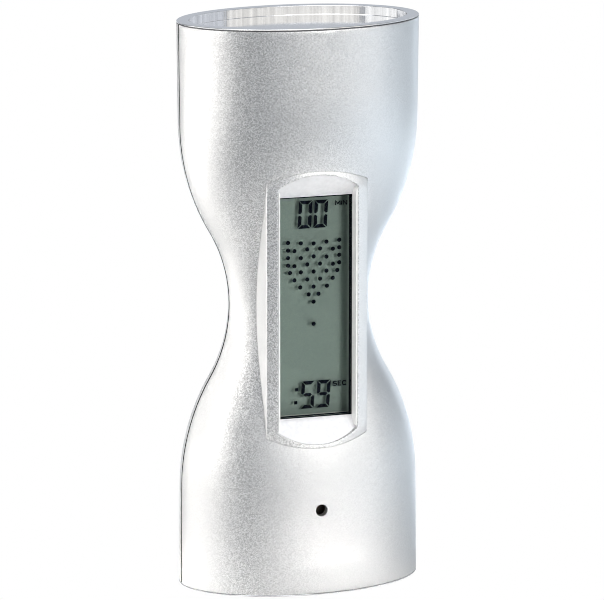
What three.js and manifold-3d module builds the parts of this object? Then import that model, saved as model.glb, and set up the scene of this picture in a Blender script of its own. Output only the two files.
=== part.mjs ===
// Electronic hourglass timer: a countdown timer in an hourglass-shaped case, started by turning it over.
// Sizes are in millimetres. +Z is up, the display faces -Y, and the origin is the middle of the base.
import * as THREE from 'three';
import { mergeVertices } from 'three/addons/utils/BufferGeometryUtils.js';
import Module from 'manifold-3d';

const wasm = await Module();
wasm.setup();

// Case. Each outline gives half the case's size against the height above or below the waist.
const HEIGHT = 145;
const WIDTH_OUTLINE = { end: 31.3, waist: 18.35, waistRadius: 37, wallStart: 46.3, draftDegrees: 0.5 };
const DEPTH_OUTLINE = { end: 19.9, waist: 10.2, waistRadius: 60, wallStart: 56, draftDegrees: 0.57 };
const WALL = 1.8;
const SEAM_GAP = 0.3;

// Clearances
const FIT = 0.3; // round a piece that fits in another
const TOUCH = 0.05; // between pieces that are pressed together
const PILOT = 0.15; // round a screw's shank in its pilot hole
const OVERCUT = 1; // how far a cut runs past the face it opens
const ROOT = 0.1; // how far a joined piece sinks into its neighbour

// Facets
const CASE_SIDES = 40;
const ARC_STEPS = 4;
const FACE_SIDES = 160;
const DISC_SIDES = 36;
const ROUND_SIDES = 24;
const HOLE_SIDES = 16;
const SHANK_SIDES = 10;

// End caps: a thin lip flush with the case, a flat land to stand on, and a shallow dish inside it.
const CAP = { lip: 0.8, land: 3.1, dish: 2.3, floor: 1.6, skirtEnd: 4.6 };

// Display. Heights are measured from the middle of the display, which is a little above the waist.
const DISPLAY_RISE = 0.6;
const BEZEL = { halfWidth: 13.3, corner: 32.65, arch: 35.5 };
const BEZEL_FACE_RADIUS = 35.3;
const BEZEL_WALL = 1.4;
const BEZEL_REACH = 0.5; // how far the bezel's tube passes the inside of the case at the waist
const WINDOW = { halfWidth: 10.4, corner: 31.1, arch: 34.5 };
const SILL_SLOPE = 0.726;
const LENS = { halfHeight: 28.1, thickness: 1, recess: 4.5 }; // the recess is from the crown of the bezel
const LCD = { halfHeight: 28.6, glass: 0.9, film: 0.2, ledge: 2.2, filmEdge: 0.35 };
const LCD_WELL_RIM = 1; // how far the holder's rim reaches in under the rear glass
const ZEBRA = { thickness: 1.6, halfWidth: 10 };

// Circuit boards and what is on them. Heights are measured from the waist.
const BOARD_THICKNESS = 1.2;
const BOARD = { halfWidth: 13, postHeight: 38.9, postAcross: 9 };
const KEY_BOARD = { halfWidth: 17, low: 27.5, high: 54.5, rear: 8, postAcross: 14.4, postInset: 3 };
const POST_RADIUS = 2.5;
const CHIP = { radius: 6, height: 1.8, x: 3, above: 9 };
const CRYSTAL = { radius: 1, length: 6, x: 8, above: -10 };
const CAPACITOR = { radius: 2.5, length: 6, x: 6, above: -24 };
const TILT = { radius: 2.6, wall: 0.5, length: 10, lid: 0.8, ballRadius: 1.5, x: -6, above: -14 };

// Keys on the back. Each button's face follows the case and stands proud of it.
const KEYS = {
  minute: { x: -9, above: 45.5, radius: 4 },
  second: { x: 9, above: 45.5, radius: 4 },
  start: { x: 0, above: 33.5, radius: 4.6 },
};
const KEY_PROUD = 0.9;
const KEY_TRAVEL = 0.5;
const FLANGE = { extra: 1.2, thickness: 1 };
const SWITCH = { halfSide: 3, height: 3.5 };
const PLUNGER = { radius: 1.7, proud: 1.1, sunk: 1.1 };

// Sound
const SOUND_HOLE = { radius: 1.5, height: 21.9 };
const BUZZER = { radius: 10, disc: 0.3, ceramicRadius: 6, ceramic: 0.25, chamber: 2.4 };
const BUZZER_HOLDER = { seat: 1, ringWall: 1, retainer: 1.5, retainerWidth: 2 };

// Batteries, their tray, contacts and door
const CELL = { radius: 5.15, length: 44.5, nubRadius: 1.9, nub: 0.8, spacing: 0.9 };
const TRAY = { wall: 1.2, play: 0.4, contactSlot: 1 };
const CONTACT = { thickness: 0.4, halfWidth: 4, rearReach: 3, tab: 2.6, tabHalfWidth: 1.3 };
const SPRING = { length: 3.4, wireRadius: 0.25, wideRadius: 3.4, narrowRadius: 2.2, turns: 3 };
const SPRING_STEPS = 8; // for each turn
const SPRING_SIDES = 5;
const DOOR_NOTCH = { radius: 4.5, depth: 0.7, below: 6 };

// Screws
const CASE_SCREW = { headRadius: 2.4, head: 1.7, shankRadius: 1, length: 12 };
const CASE_SCREW_PLACE = { across: 20, belowTop: 14, aboveTray: 7.4, seat: 4.5 }; // seat is behind the seam
const SMALL_SCREW = { headRadius: 1.7, head: 1.1, shankRadius: 0.7, length: 6 };
const BOSS_WALL = 1.4;
const CROSS = { arm: 0.6, half: 0.14, floor: 0.4 }; // the driver's recess, as shares of the screw head

// Wires from the contacts and the buzzer to pads at the foot of the main board
const WIRE = { radius: 0.6, sides: 8, step: 3, lead: 2.2 }; // the lead is the straight start of a wire
const WIRE_GAP = 0.8; // between the end of a wire and what it is soldered to
const PAD_ABOVE = 1.7; // the pads' height above the foot of the board
const BATTERY_PADS = { red: 1.8, black: 4.6 };
const BUZZER_PADS = { red: -2.2, black: -4.8 };
const BUZZER_JOINTS = { red: [-1.5, 3.1], black: [-4.2, 5.5] }; // across and above the middle of the disc
const WIRE_SAG = { red: [-4.2, 0], black: [-1.2, -2.5] }; // how far the battery wires bow along Y and Z
const RIBBON = { halfWidth: 4, thickness: 0.5, fromAbove: 26, toAbove: 31, steps: 8 };

const FINISHES = {
  silverPaint: { color: 0xc9cacc, roughness: 0.38, metalness: 0.75 },
  glossSilver: { color: 0xd4d6da, roughness: 0.15, metalness: 0.85 },
  paleGloss: { color: 0xdfe0e6, roughness: 0.2, metalness: 0.1 },
  clear: { color: 0xf2f6f4, roughness: 0.05, metalness: 0 },
  lcdGreen: { color: 0x74857a, roughness: 0.35, metalness: 0 },
  whitePlastic: { color: 0xe9e9e4, roughness: 0.5, metalness: 0 },
  rubber: { color: 0x2c2c2e, roughness: 0.8, metalness: 0 },
  boardGreen: { color: 0x1f6b3c, roughness: 0.45, metalness: 0 },
  blackEpoxy: { color: 0x141416, roughness: 0.35, metalness: 0 },
  steel: { color: 0xb9bcc0, roughness: 0.3, metalness: 1 },
  brass: { color: 0xc9a352, roughness: 0.3, metalness: 1 },
  ceramic: { color: 0xe6e2d6, roughness: 0.6, metalness: 0 },
  greyPlastic: { color: 0x9a9da1, roughness: 0.5, metalness: 0 },
  cellJacket: { color: 0x3a4a63, roughness: 0.35, metalness: 0.2 },
  redWire: { color: 0xb3201c, roughness: 0.45, metalness: 0 },
  blackWire: { color: 0x1b1b1d, roughness: 0.45, metalness: 0 },
};

// Shape tools

// A closed geometry as a solid that can be cut and joined.
function solid(geometry) {
  const bare = geometry.clone();
  bare.deleteAttribute('normal');
  bare.deleteAttribute('uv');
  const merged = mergeVertices(bare, 1e-4);
  const vertProperties = new Float32Array(merged.attributes.position.array);
  const triVerts = new Uint32Array(merged.index.array);
  return new wasm.Manifold(new wasm.Mesh({ numProp: 3, vertProperties, triVerts }));
}

function geometryOf(made) {
  const { numProp, numVert, vertProperties, triVerts } = made.getMesh();
  const position = new Float32Array(numVert * 3);
  for (let i = 0; i < numVert; i += 1) {
    position.set(vertProperties.subarray(i * numProp, i * numProp + 3), i * 3);
  }
  const indexed = new THREE.BufferGeometry();
  indexed.setAttribute('position', new THREE.BufferAttribute(position, 3));
  indexed.setIndex(new THREE.BufferAttribute(new Uint32Array(triVerts), 1));
  const geometry = indexed.toNonIndexed();
  geometry.computeVertexNormals();
  return geometry;
}

function block(low, high) {
  const size = high.map((value, axis) => value - low[axis]);
  const middle = high.map((value, axis) => (value + low[axis]) / 2);
  return solid(new THREE.BoxGeometry(...size).translate(...middle));
}

// Round rods along each axis. The two places are the ones across the rod.
function rodX(radius, x0, x1, y = 0, z = 0, sides = ROUND_SIDES) {
  const rod = new THREE.CylinderGeometry(radius, radius, x1 - x0, sides).rotateZ(-Math.PI / 2);
  return solid(rod.translate((x0 + x1) / 2, y, z));
}

function rodY(radius, y0, y1, x = 0, z = 0, sides = ROUND_SIDES) {
  const rod = new THREE.CylinderGeometry(radius, radius, y1 - y0, sides);
  return solid(rod.translate(x, (y0 + y1) / 2, z));
}

function rodZ(radius, z0, z1, x = 0, y = 0, sides = ROUND_SIDES) {
  const rod = new THREE.CylinderGeometry(radius, radius, z1 - z0, sides).rotateX(Math.PI / 2);
  return solid(rod.translate(x, y, (z0 + z1) / 2));
}

// A shape drawn in X and Z, carried along Y.
function prismY(shape, y0, y1) {
  const prism = new THREE.ExtrudeGeometry(shape, { depth: y1 - y0, bevelEnabled: false });
  return solid(prism.rotateX(Math.PI / 2).translate(0, y1, 0));
}

// A shape drawn in Y and Z, carried along X to both sides.
function prismX(shape, half, curveSegments = 1) {
  const prism = new THREE.ExtrudeGeometry(shape, { depth: 2 * half, bevelEnabled: false, curveSegments });
  return solid(prism.rotateZ(Math.PI / 2).rotateY(Math.PI / 2).translate(-half, 0, 0));
}

// An upright elliptical disc.
function ovalDisc(halfX, halfY, z0, z1) {
  const disc = new THREE.CylinderGeometry(1, 1, z1 - z0, CASE_SIDES).rotateX(Math.PI / 2);
  return solid(disc.scale(halfX, halfY, 1).translate(0, 0, (z0 + z1) / 2));
}

function tubeAlong(curve, radius, sides, steps) {
  const corners = Array.from({ length: sides }, (_, i) => {
    const turn = (i / sides) * Math.PI * 2;
    return new THREE.Vector2(radius * Math.cos(turn), radius * Math.sin(turn));
  });
  const section = new THREE.Shape(corners);
  return solid(new THREE.ExtrudeGeometry(section, { steps, bevelEnabled: false, extrudePath: curve }));
}

// Case outline

const mid = HEIGHT / 2;

// The arcs of an outline: one round the waist, one over the shoulder, then a wall with a little draft.
function outlineArcs({ end, waist, waistRadius, wallStart, draftDegrees }) {
  const draft = THREE.MathUtils.degToRad(draftDegrees);
  const wallFoot = end - (mid - wallStart) * Math.tan(draft);
  const swell = wallFoot - waist;
  const shoulderRadius =
    (wallStart ** 2 + swell ** 2 - 2 * waistRadius * swell) /
    (2 * (waistRadius * (1 - Math.cos(draft)) + swell * Math.cos(draft) - wallStart * Math.sin(draft)));
  const centreHeight = wallStart + shoulderRadius * Math.sin(draft);
  const centreAcross = wallFoot - shoulderRadius * Math.cos(draft);
  const steepest = Math.atan2(centreHeight, waist + waistRadius - centreAcross);
  const meeting = waistRadius * Math.sin(steepest);
  const shoulder = { shoulderRadius, centreHeight, centreAcross };
  return { waist, waistRadius, wallStart, draft, wallFoot, steepest, meeting, ...shoulder };
}

const widthArcs = outlineArcs(WIDTH_OUTLINE);
const depthArcs = outlineArcs(DEPTH_OUTLINE);

function halfSize(arcs, z) {
  const height = Math.abs(z - mid);
  if (height < arcs.meeting) {
    return arcs.waist + arcs.waistRadius - Math.sqrt(arcs.waistRadius ** 2 - height ** 2);
  }
  if (height < arcs.wallStart) {
    return arcs.centreAcross + Math.sqrt(arcs.shoulderRadius ** 2 - (arcs.centreHeight - height) ** 2);
  }
  return arcs.wallFoot + (height - arcs.wallStart) * Math.tan(arcs.draft);
}

// How far the case's surface, moved in by inset, lies from the seam plane at x and z.
function surfaceDepth(x, z, inset = 0) {
  const across = Math.min(1, Math.abs(x) / (halfSize(widthArcs, z) - inset));
  return (halfSize(depthArcs, z) - inset) * Math.sqrt(1 - across ** 2);
}

// Heights of the rings that follow the arcs closely, from zLow to zHigh.
function ringHeights(zLow, zHigh) {
  const heights = [0, depthArcs.wallStart];
  for (let i = 1; i <= ARC_STEPS; i += 1) {
    const share = i / ARC_STEPS;
    const shoulderTurn = THREE.MathUtils.lerp(widthArcs.steepest, widthArcs.draft, share);
    heights.push(widthArcs.waistRadius * Math.sin(widthArcs.steepest * share));
    heights.push(widthArcs.centreHeight - widthArcs.shoulderRadius * Math.sin(shoulderTurn));
  }
  const levels = new Set(heights.flatMap((height) => [mid - height, mid + height]));
  const inside = [...levels].filter((z) => z > zLow && z < zHigh);
  return [zLow, ...inside.sort((a, b) => a - b), zHigh];
}

// The whole hourglass as one solid, moved in by inset, between two heights.
function hourglass(inset, zLow, zHigh) {
  const levels = ringHeights(zLow, zHigh);
  const points = [];
  const faces = [];
  levels.forEach((z) => {
    const across = halfSize(widthArcs, z) - inset;
    const deep = halfSize(depthArcs, z) - inset;
    for (let i = 0; i < CASE_SIDES; i += 1) {
      const turn = (i / CASE_SIDES) * Math.PI * 2;
      points.push(across * Math.cos(turn), deep * Math.sin(turn), z);
    }
  });
  const bottom = levels.length * CASE_SIDES;
  const top = bottom + 1;
  const last = (levels.length - 1) * CASE_SIDES;
  points.push(0, 0, zLow, 0, 0, zHigh);
  for (let i = 0; i < CASE_SIDES; i += 1) {
    const next = (i + 1) % CASE_SIDES;
    faces.push(bottom, next, i, top, last + i, last + next);
    for (let here = 0; here < last; here += CASE_SIDES) {
      const above = here + CASE_SIDES;
      faces.push(here + i, here + next, above + next, here + i, above + next, above + i);
    }
  }
  const geometry = new THREE.BufferGeometry();
  geometry.setAttribute('position', new THREE.Float32BufferAttribute(points, 3));
  geometry.setIndex(faces);
  return solid(geometry);
}

// Places that several pieces share

const reach = 2 * DEPTH_OUTLINE.end; // past the case in every direction across it
const displayMid = mid + DISPLAY_RISE;
const faceY = -halfSize(depthArcs, mid + BEZEL.arch); // the bezel's crown is flush with the case at its ends
const lensFront = faceY + LENS.recess;
const lensRear = lensFront + LENS.thickness;
const lcdFront = lensRear + FIT;
const frontGlassFront = lcdFront + LCD.film;
const frontGlassRear = frontGlassFront + LCD.glass;
const rearGlassRear = frontGlassRear + LCD.glass;
const lcdRear = rearGlassRear + LCD.film;
const tubeEnd = BEZEL_REACH - surfaceDepth(BEZEL.halfWidth, mid, WALL);
const tubeInside = {
  halfWidth: BEZEL.halfWidth - BEZEL_WALL,
  corner: BEZEL.corner - BEZEL_WALL,
  arch: BEZEL.arch - BEZEL_WALL,
};
const lensHalfWidth = WINDOW.halfWidth - 2 * FIT;
const glassHalfWidth = tubeInside.halfWidth - 2 * FIT;
const filmHalfWidth = glassHalfWidth - LCD.filmEdge;
const reflectorHalfHeight = LCD.halfHeight - LCD.filmEdge;
const frontGlassHalfHeight = LCD.halfHeight + LCD.ledge;
const zebraFoot = LCD.halfHeight + FIT; // the strips stand just past the rear glass

const boardFront = tubeEnd + FIT;
const boardRear = boardFront + BOARD_THICKNESS;
const keyBoardFront = KEY_BOARD.rear - BOARD_THICKNESS;
const boardPosts = [-1, 1].flatMap((side) => [
  { x: side * BOARD.postAcross, z: mid + BOARD.postHeight },
  { x: side * BOARD.postAcross, z: mid - BOARD.postHeight },
]);
const keyPosts = [
  { x: -KEY_BOARD.postAcross, z: mid + KEY_BOARD.high - KEY_BOARD.postInset },
  { x: KEY_BOARD.postAcross, z: mid + KEY_BOARD.low + KEY_BOARD.postInset },
];
const discFront = BUZZER.chamber - surfaceDepth(0, SOUND_HOLE.height, WALL);
const discRear = discFront + BUZZER.disc;

const trayLow = CAP.skirtEnd + FIT;
const cavityLow = trayLow + TRAY.wall;
const lowCellZ = cavityLow + TRAY.play + CELL.radius;
const highCellZ = lowCellZ + 2 * CELL.radius + CELL.spacing;
const cavityHigh = highCellZ + CELL.radius + TRAY.play;
const trayHigh = cavityHigh + TRAY.wall;
const contactFace = (CELL.length + SPRING.length + 3 * FIT) / 2; // half the room between the contacts
const slotInside = contactFace - FIT;
const slotOutside = slotInside + TRAY.contactSlot;
const cellShoulder = contactFace - FIT - CELL.nub;
const cellY = surfaceDepth(cellShoulder, cavityHigh, WALL) - FIT - CELL.radius;
const trayFloorRear = cellY - CELL.radius - FIT;
const trayFloorFront = trayFloorRear - TRAY.wall;
const doorway = { halfWidth: slotOutside, low: cavityLow, high: cavityHigh };
const caseScrewPlaces = [-1, 1].flatMap((side) => [
  { x: side * CASE_SCREW_PLACE.across, z: HEIGHT - CASE_SCREW_PLACE.belowTop },
  { x: side * CASE_SCREW_PLACE.across, z: trayHigh + CASE_SCREW_PLACE.aboveTray },
]);

// Case

const shellLow = CAP.lip + FIT;
const shellHigh = HEIGHT - shellLow;
const caseBore = hourglass(WALL, shellLow - OVERCUT, shellHigh + OVERCUT);
const caseWall = hourglass(0, shellLow, shellHigh).subtract(caseBore);
const midWall = hourglass(WALL / 2, shellLow, shellHigh); // posts and bosses root in the middle of the wall
const caseRoom = hourglass(WALL + FIT, shellLow, shellHigh);
const caseSkin = hourglass(-KEY_PROUD, shellLow, shellHigh);

// The half of the case in front of the seam, or behind it.
function caseHalf(side) {
  const wide = 2 * WIDTH_OUTLINE.end;
  const near = SEAM_GAP / 2;
  const [y0, y1] = side < 0 ? [-reach, -near] : [near, reach];
  return caseWall.intersect(block([-wide, y0, 0], [wide, y1, HEIGHT]));
}

function frontShell() {
  const pilot = CASE_SCREW.shankRadius + PILOT;
  const smallPilot = SMALL_SCREW.shankRadius + PILOT;
  const caseScrewTip = CASE_SCREW_PLACE.seat - CASE_SCREW.length - FIT;
  const boardScrewTip = boardRear - SMALL_SCREW.length - FIT;
  const seatRadius = BUZZER.radius + FIT;
  const ringEnd = discRear + BUZZER_HOLDER.retainer;
  const buzzerRod = (radius, y0, y1) => rodY(radius, y0, y1, 0, SOUND_HOLE.height, DISC_SIDES);
  let shell = caseHalf(-1);
  caseScrewPlaces.forEach(({ x, z }) => {
    shell = shell.add(rodY(pilot + BOSS_WALL, -reach, -SEAM_GAP / 2, x, z, HOLE_SIDES).intersect(midWall));
  });
  boardPosts.forEach(({ x, z }) => {
    shell = shell.add(rodY(POST_RADIUS, -reach, boardFront - FIT, x, z, HOLE_SIDES).intersect(midWall));
  });
  shell = shell.add(buzzerRod(seatRadius + BUZZER_HOLDER.ringWall, -reach, ringEnd).intersect(midWall));
  shell = shell.subtract(buzzerRod(seatRadius - BUZZER_HOLDER.seat, -reach, 0).intersect(caseRoom));
  shell = shell.subtract(buzzerRod(seatRadius, discFront - FIT, 0));
  shell = shell.subtract(rodY(SOUND_HOLE.radius, -reach, discFront, 0, SOUND_HOLE.height));
  caseScrewPlaces.forEach(({ x, z }) => {
    shell = shell.subtract(rodY(pilot, caseScrewTip, 0, x, z, HOLE_SIDES));
  });
  boardPosts.forEach(({ x, z }) => {
    shell = shell.subtract(rodY(smallPilot, boardScrewTip, 0, x, z, HOLE_SIDES));
  });
  const displayHole = prismY(archedShape(BEZEL, FIT), -reach, 0);
  return shell.subtract(displayHole.translate([0, 0, displayMid]));
}

function rearShell() {
  const headRoom = CASE_SCREW.headRadius + FIT;
  const shankRoom = CASE_SCREW.shankRadius + FIT;
  const smallPilot = SMALL_SCREW.shankRadius + PILOT;
  const keyScrewTip = keyBoardFront + SMALL_SCREW.length + FIT;
  let shell = caseHalf(1);
  caseScrewPlaces.forEach(({ x, z }) => {
    shell = shell.add(rodY(headRoom + BOSS_WALL, SEAM_GAP / 2, reach, x, z).intersect(midWall));
  });
  keyPosts.forEach(({ x, z }) => {
    shell = shell.add(rodY(POST_RADIUS, KEY_BOARD.rear + FIT, reach, x, z, HOLE_SIDES).intersect(midWall));
  });
  caseScrewPlaces.forEach(({ x, z }) => {
    shell = shell.subtract(rodY(headRoom, CASE_SCREW_PLACE.seat - FIT, reach, x, z));
    shell = shell.subtract(rodY(shankRoom, 0, reach, x, z, HOLE_SIDES));
  });
  keyPosts.forEach(({ x, z }) => {
    shell = shell.subtract(rodY(smallPilot, 0, keyScrewTip, x, z, HOLE_SIDES));
  });
  Object.values(KEYS).forEach(({ x, above, radius }) => {
    shell = shell.subtract(rodY(radius + FIT, 0, reach, x, mid + above));
  });
  const { halfWidth, low, high } = doorway;
  return shell.subtract(block([-halfWidth, OVERCUT, low], [halfWidth, reach, high]));
}

// The cap at the base; the one at the top is the same piece turned over.
function endCap() {
  const disc = (inset, z0, z1) => ovalDisc(WIDTH_OUTLINE.end - inset, DEPTH_OUTLINE.end - inset, z0, z1);
  const lip = disc(0, 0, CAP.lip);
  const plug = disc(WALL + FIT, CAP.lip - ROOT, CAP.skirtEnd);
  const dish = disc(CAP.land, -OVERCUT, CAP.dish);
  const hollow = disc(CAP.land, CAP.dish + CAP.floor, CAP.skirtEnd + OVERCUT);
  return lip.add(plug).subtract(dish).subtract(hollow);
}

// Display, drawn about its own middle

// The display's outline: straight sides with arched ends, moved out by grow.
function archedShape({ halfWidth, corner, arch }, grow = 0) {
  const half = halfWidth + grow;
  const straight = corner + grow;
  const rise = arch - corner;
  const radius = (half ** 2 + rise ** 2) / (2 * rise);
  const sweep = Math.asin(half / radius);
  const centre = straight + rise - radius;
  const quarter = Math.PI / 2;
  const shape = new THREE.Shape();
  shape.moveTo(half, -straight);
  shape.lineTo(half, straight);
  shape.absarc(0, centre, radius, quarter - sweep, quarter + sweep, false);
  shape.lineTo(-half, -straight);
  shape.absarc(0, -centre, radius, -quarter - sweep, -quarter + sweep, false);
  return shape;
}

// A deep tube through the case, with a lip round the window and a face that curves from side to side.
function displayBezel() {
  const axisY = faceY + BEZEL_FACE_RADIUS;
  const curve = rodZ(BEZEL_FACE_RADIUS, -mid, mid, 0, axisY, FACE_SIDES);
  const tube = prismY(archedShape(BEZEL), faceY - OVERCUT, tubeEnd).intersect(curve);
  const opening = prismY(archedShape(WINDOW), faceY - 2 * OVERCUT, lensFront + OVERCUT);
  const bore = prismY(archedShape(tubeInside), lensFront, tubeEnd + OVERCUT);
  return tube.subtract(opening).subtract(bore);
}

// The frame round the lens, with a sloping sill above and below it.
function displaySurround() {
  const ledge = LENS.halfHeight + FIT;
  const top = WINDOW.arch + OVERCUT;
  const plateMid = (lensFront + lensRear) / 2;
  const sill = new THREE.Shape();
  sill.moveTo(plateMid, ledge);
  sill.lineTo(plateMid, top);
  sill.lineTo(lensFront - SILL_SLOPE * (top - ledge), top);
  sill.lineTo(lensFront, ledge);
  const windowFill = prismY(archedShape(WINDOW, -FIT), faceY - OVERCUT, plateMid);
  const upperSill = prismX(sill, WINDOW.halfWidth).intersect(windowFill);
  const plate = prismY(archedShape(tubeInside, -FIT), lensFront + TOUCH, lensRear);
  const half = lensHalfWidth + FIT;
  const lensHole = block([-half, faceY, -ledge], [half, 0, ledge]);
  return plate.add(upperSill).add(upperSill.mirror([0, 0, 1])).subtract(lensHole);
}

function displayLayer(halfWidth, halfHeight, front, rear) {
  return block([-halfWidth, front, -halfHeight], [halfWidth, rear, halfHeight]);
}

// The strip of conducting rubber above the rear glass, made larger by grow all round.
function zebraStrip(front, rear, grow = 0) {
  const half = ZEBRA.halfWidth + grow;
  const high = zebraFoot + ZEBRA.thickness + grow;
  return block([-half, front, zebraFoot - grow], [half, rear, high]);
}

// The frame that presses the glass forward and keeps the rubber strips in place.
function lcdHolder() {
  const front = lcdRear + TOUCH;
  const rear = boardFront - TOUCH;
  const wellHalfWidth = ZEBRA.halfWidth - LCD_WELL_RIM;
  const wellHalfHeight = LCD.halfHeight - LCD_WELL_RIM;
  const outer = displayLayer(glassHalfWidth, frontGlassHalfHeight, front, rear);
  const well = displayLayer(wellHalfWidth, wellHalfHeight, front - OVERCUT, rear + OVERCUT);
  const slot = zebraStrip(front - OVERCUT, rear + OVERCUT, TOUCH);
  return outer.subtract(well).subtract(slot).subtract(slot.mirror([0, 0, 1]));
}

// Boards

function drilled(board, places) {
  const hole = SMALL_SCREW.shankRadius + FIT;
  return places.reduce((rest, { x, z }) => rest.subtract(rodY(hole, -reach, reach, x, z, HOLE_SIDES)), board);
}

function mainBoard() {
  const half = BOARD.postHeight + POST_RADIUS;
  const low = [-BOARD.halfWidth, boardFront, mid - half];
  return drilled(block(low, [BOARD.halfWidth, boardRear, mid + half]), boardPosts);
}

function keyBoard() {
  const low = [-KEY_BOARD.halfWidth, keyBoardFront, mid + KEY_BOARD.low];
  return drilled(block(low, [KEY_BOARD.halfWidth, KEY_BOARD.rear, mid + KEY_BOARD.high]), keyPosts);
}

// The bare chip under a drop of black epoxy, resting on y = 0.
function controllerChip() {
  const drop = solid(new THREE.SphereGeometry(1, 20, 12).scale(CHIP.radius, CHIP.height, CHIP.radius));
  return drop.intersect(block([-reach, 0, -reach], [reach, reach, reach]));
}

// The tilt switch: a can, its lid, and a ball that rolls from end to end. The can stands on z = 0.
const tiltBore = TILT.radius - TILT.wall;

function tiltSwitchCan() {
  return rodZ(TILT.radius, 0, TILT.length).subtract(rodZ(tiltBore, TILT.wall, TILT.length + OVERCUT));
}

function tiltSwitchLid() {
  return rodZ(TILT.radius, 0, TILT.lid).add(rodZ(tiltBore - TOUCH, -TILT.lid, ROOT));
}

function tiltBall() {
  return solid(new THREE.SphereGeometry(TILT.ballRadius, 16, 10).rotateX(Math.PI / 2));
}

// Sound

function buzzerRetainer() {
  const inner = BUZZER.radius - BUZZER_HOLDER.retainerWidth;
  const ring = rodY(BUZZER.radius, 0, BUZZER_HOLDER.retainer, 0, 0, DISC_SIDES);
  return ring.subtract(rodY(inner, -OVERCUT, BUZZER_HOLDER.retainer + OVERCUT, 0, 0, DISC_SIDES));
}

// Keys, drawn about a place on the rear face of the key board

const plungerFoot = SWITCH.height - PLUNGER.sunk;
const plungerTop = SWITCH.height + PLUNGER.proud;

function keyButton({ x, above, radius }) {
  const local = caseSkin.translate([-x, -KEY_BOARD.rear, -mid - above]);
  const foot = plungerTop + TOUCH;
  const stem = rodY(radius, foot, reach).intersect(local);
  return stem.add(rodY(radius + FLANGE.extra, foot, foot + FLANGE.thickness));
}

function keySwitch() {
  const half = SWITCH.halfSide;
  const bore = rodY(PLUNGER.radius + TOUCH, plungerFoot - KEY_TRAVEL - FIT, SWITCH.height + OVERCUT);
  return block([-half, 0, -half], [half, SWITCH.height, half]).subtract(bore);
}

// Batteries

// A box open towards the door, trimmed to the inside of the case, with slots for the contacts.
function batteryTray() {
  const endWall = slotOutside + TRAY.wall;
  const rear = cellY + CELL.radius;
  const box = block([-endWall, trayFloorFront, trayLow], [endWall, rear, trayHigh]);
  const cavity = block([-slotOutside, trayFloorRear, cavityLow], [slotOutside, rear + OVERCUT, cavityHigh]);
  const slot = block([slotInside, trayFloorFront - OVERCUT, cavityLow], [slotOutside, rear, cavityHigh]);
  return box.subtract(cavity).subtract(slot).subtract(slot.mirror([1, 0, 0])).intersect(caseRoom);
}

// A cell along X whose nub points to +X.
function batteryCell() {
  const nubEnd = cellShoulder + CELL.nub;
  const body = rodX(CELL.radius, nubEnd - CELL.length, cellShoulder);
  return body.add(rodX(CELL.nubRadius, cellShoulder - ROOT, nubEnd, 0, 0, HOLE_SIDES));
}

// A contact at the +X end from one cell up to another, with a solder tab through the tray's floor.
function contactPlate(toZ = 0) {
  const rear = contactFace + CONTACT.thickness;
  const low = [contactFace, trayFloorRear + FIT - cellY, -CONTACT.halfWidth];
  const plate = block(low, [rear, CONTACT.rearReach, toZ + CONTACT.halfWidth]);
  const tabLow = [contactFace, trayFloorFront - CONTACT.tab - cellY, -CONTACT.tabHalfWidth];
  return plate.add(block(tabLow, [rear, 0, CONTACT.tabHalfWidth]));
}

// The path of a battery spring, which narrows from its contact at the +X end towards the cell.
class ConeHelix extends THREE.Curve {
  getPoint(share, target = new THREE.Vector3()) {
    const turn = share * SPRING.turns * Math.PI * 2;
    const radius = THREE.MathUtils.lerp(SPRING.wideRadius, SPRING.narrowRadius, share);
    const room = SPRING.length - 2 * SPRING.wireRadius;
    const along = contactFace - FIT - SPRING.wireRadius - share * room;
    return target.set(along, radius * Math.cos(turn), radius * Math.sin(turn));
  }
}

function batterySpring() {
  return tubeAlong(new ConeHelix(), SPRING.wireRadius, SPRING_SIDES, SPRING.turns * SPRING_STEPS);
}

// The door is a piece of the case's wall with a round finger notch.
function batteryDoor() {
  const half = doorway.halfWidth - FIT;
  const panel = caseWall.intersect(
    block([-half, OVERCUT, doorway.low + FIT], [half, reach, doorway.high - FIT]),
  );
  const notchZ = doorway.high - DOOR_NOTCH.below;
  const notchFloor = surfaceDepth(0, notchZ) - DOOR_NOTCH.depth;
  return panel.subtract(rodY(DOOR_NOTCH.radius, notchFloor, reach, 0, notchZ));
}

// A cross-head screw whose head rests on y = 0 and points to +Y.
function screw({ headRadius, head, shankRadius, length }) {
  const arm = headRadius * CROSS.arm;
  const half = headRadius * CROSS.half;
  const floor = head * CROSS.floor;
  const slot = block([-arm, floor, -half], [arm, head + OVERCUT, half]);
  const cross = slot.add(block([-half, floor, -arm], [half, head + OVERCUT, arm]));
  const shank = rodY(shankRadius, -length, ROOT, 0, 0, SHANK_SIDES);
  return rodY(headRadius, 0, head, 0, 0, HOLE_SIDES).add(shank).subtract(cross);
}

// Wires

// A wire that leaves its start straight to the front or the back, then bows to a pad on the main board.
function wire(start, lead, end, sag = [0, 0]) {
  const leaving = start.clone().add(lead);
  const bow = new THREE.Vector3(0, ...sag);
  const between = [1 / 3, 2 / 3].map((share) => leaving.clone().lerp(end, share).add(bow));
  const curve = new THREE.CatmullRomCurve3([start, leaving, ...between, end]);
  return tubeAlong(curve, WIRE.radius, WIRE.sides, Math.ceil(curve.getLength() / WIRE.step));
}

function pad(x) {
  const footZ = mid - BOARD.postHeight - POST_RADIUS;
  return new THREE.Vector3(x, boardFront - WIRE.radius - FIT, footZ + PAD_ABOVE);
}

function batteryWire(colour, cellZ) {
  const x = contactFace + CONTACT.thickness / 2;
  const start = new THREE.Vector3(x, trayFloorFront - CONTACT.tab - WIRE_GAP, cellZ);
  const lead = new THREE.Vector3(-WIRE.lead / 2, -WIRE.lead / 2, WIRE.lead);
  return wire(start, lead, pad(BATTERY_PADS[colour]), WIRE_SAG[colour]);
}

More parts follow.
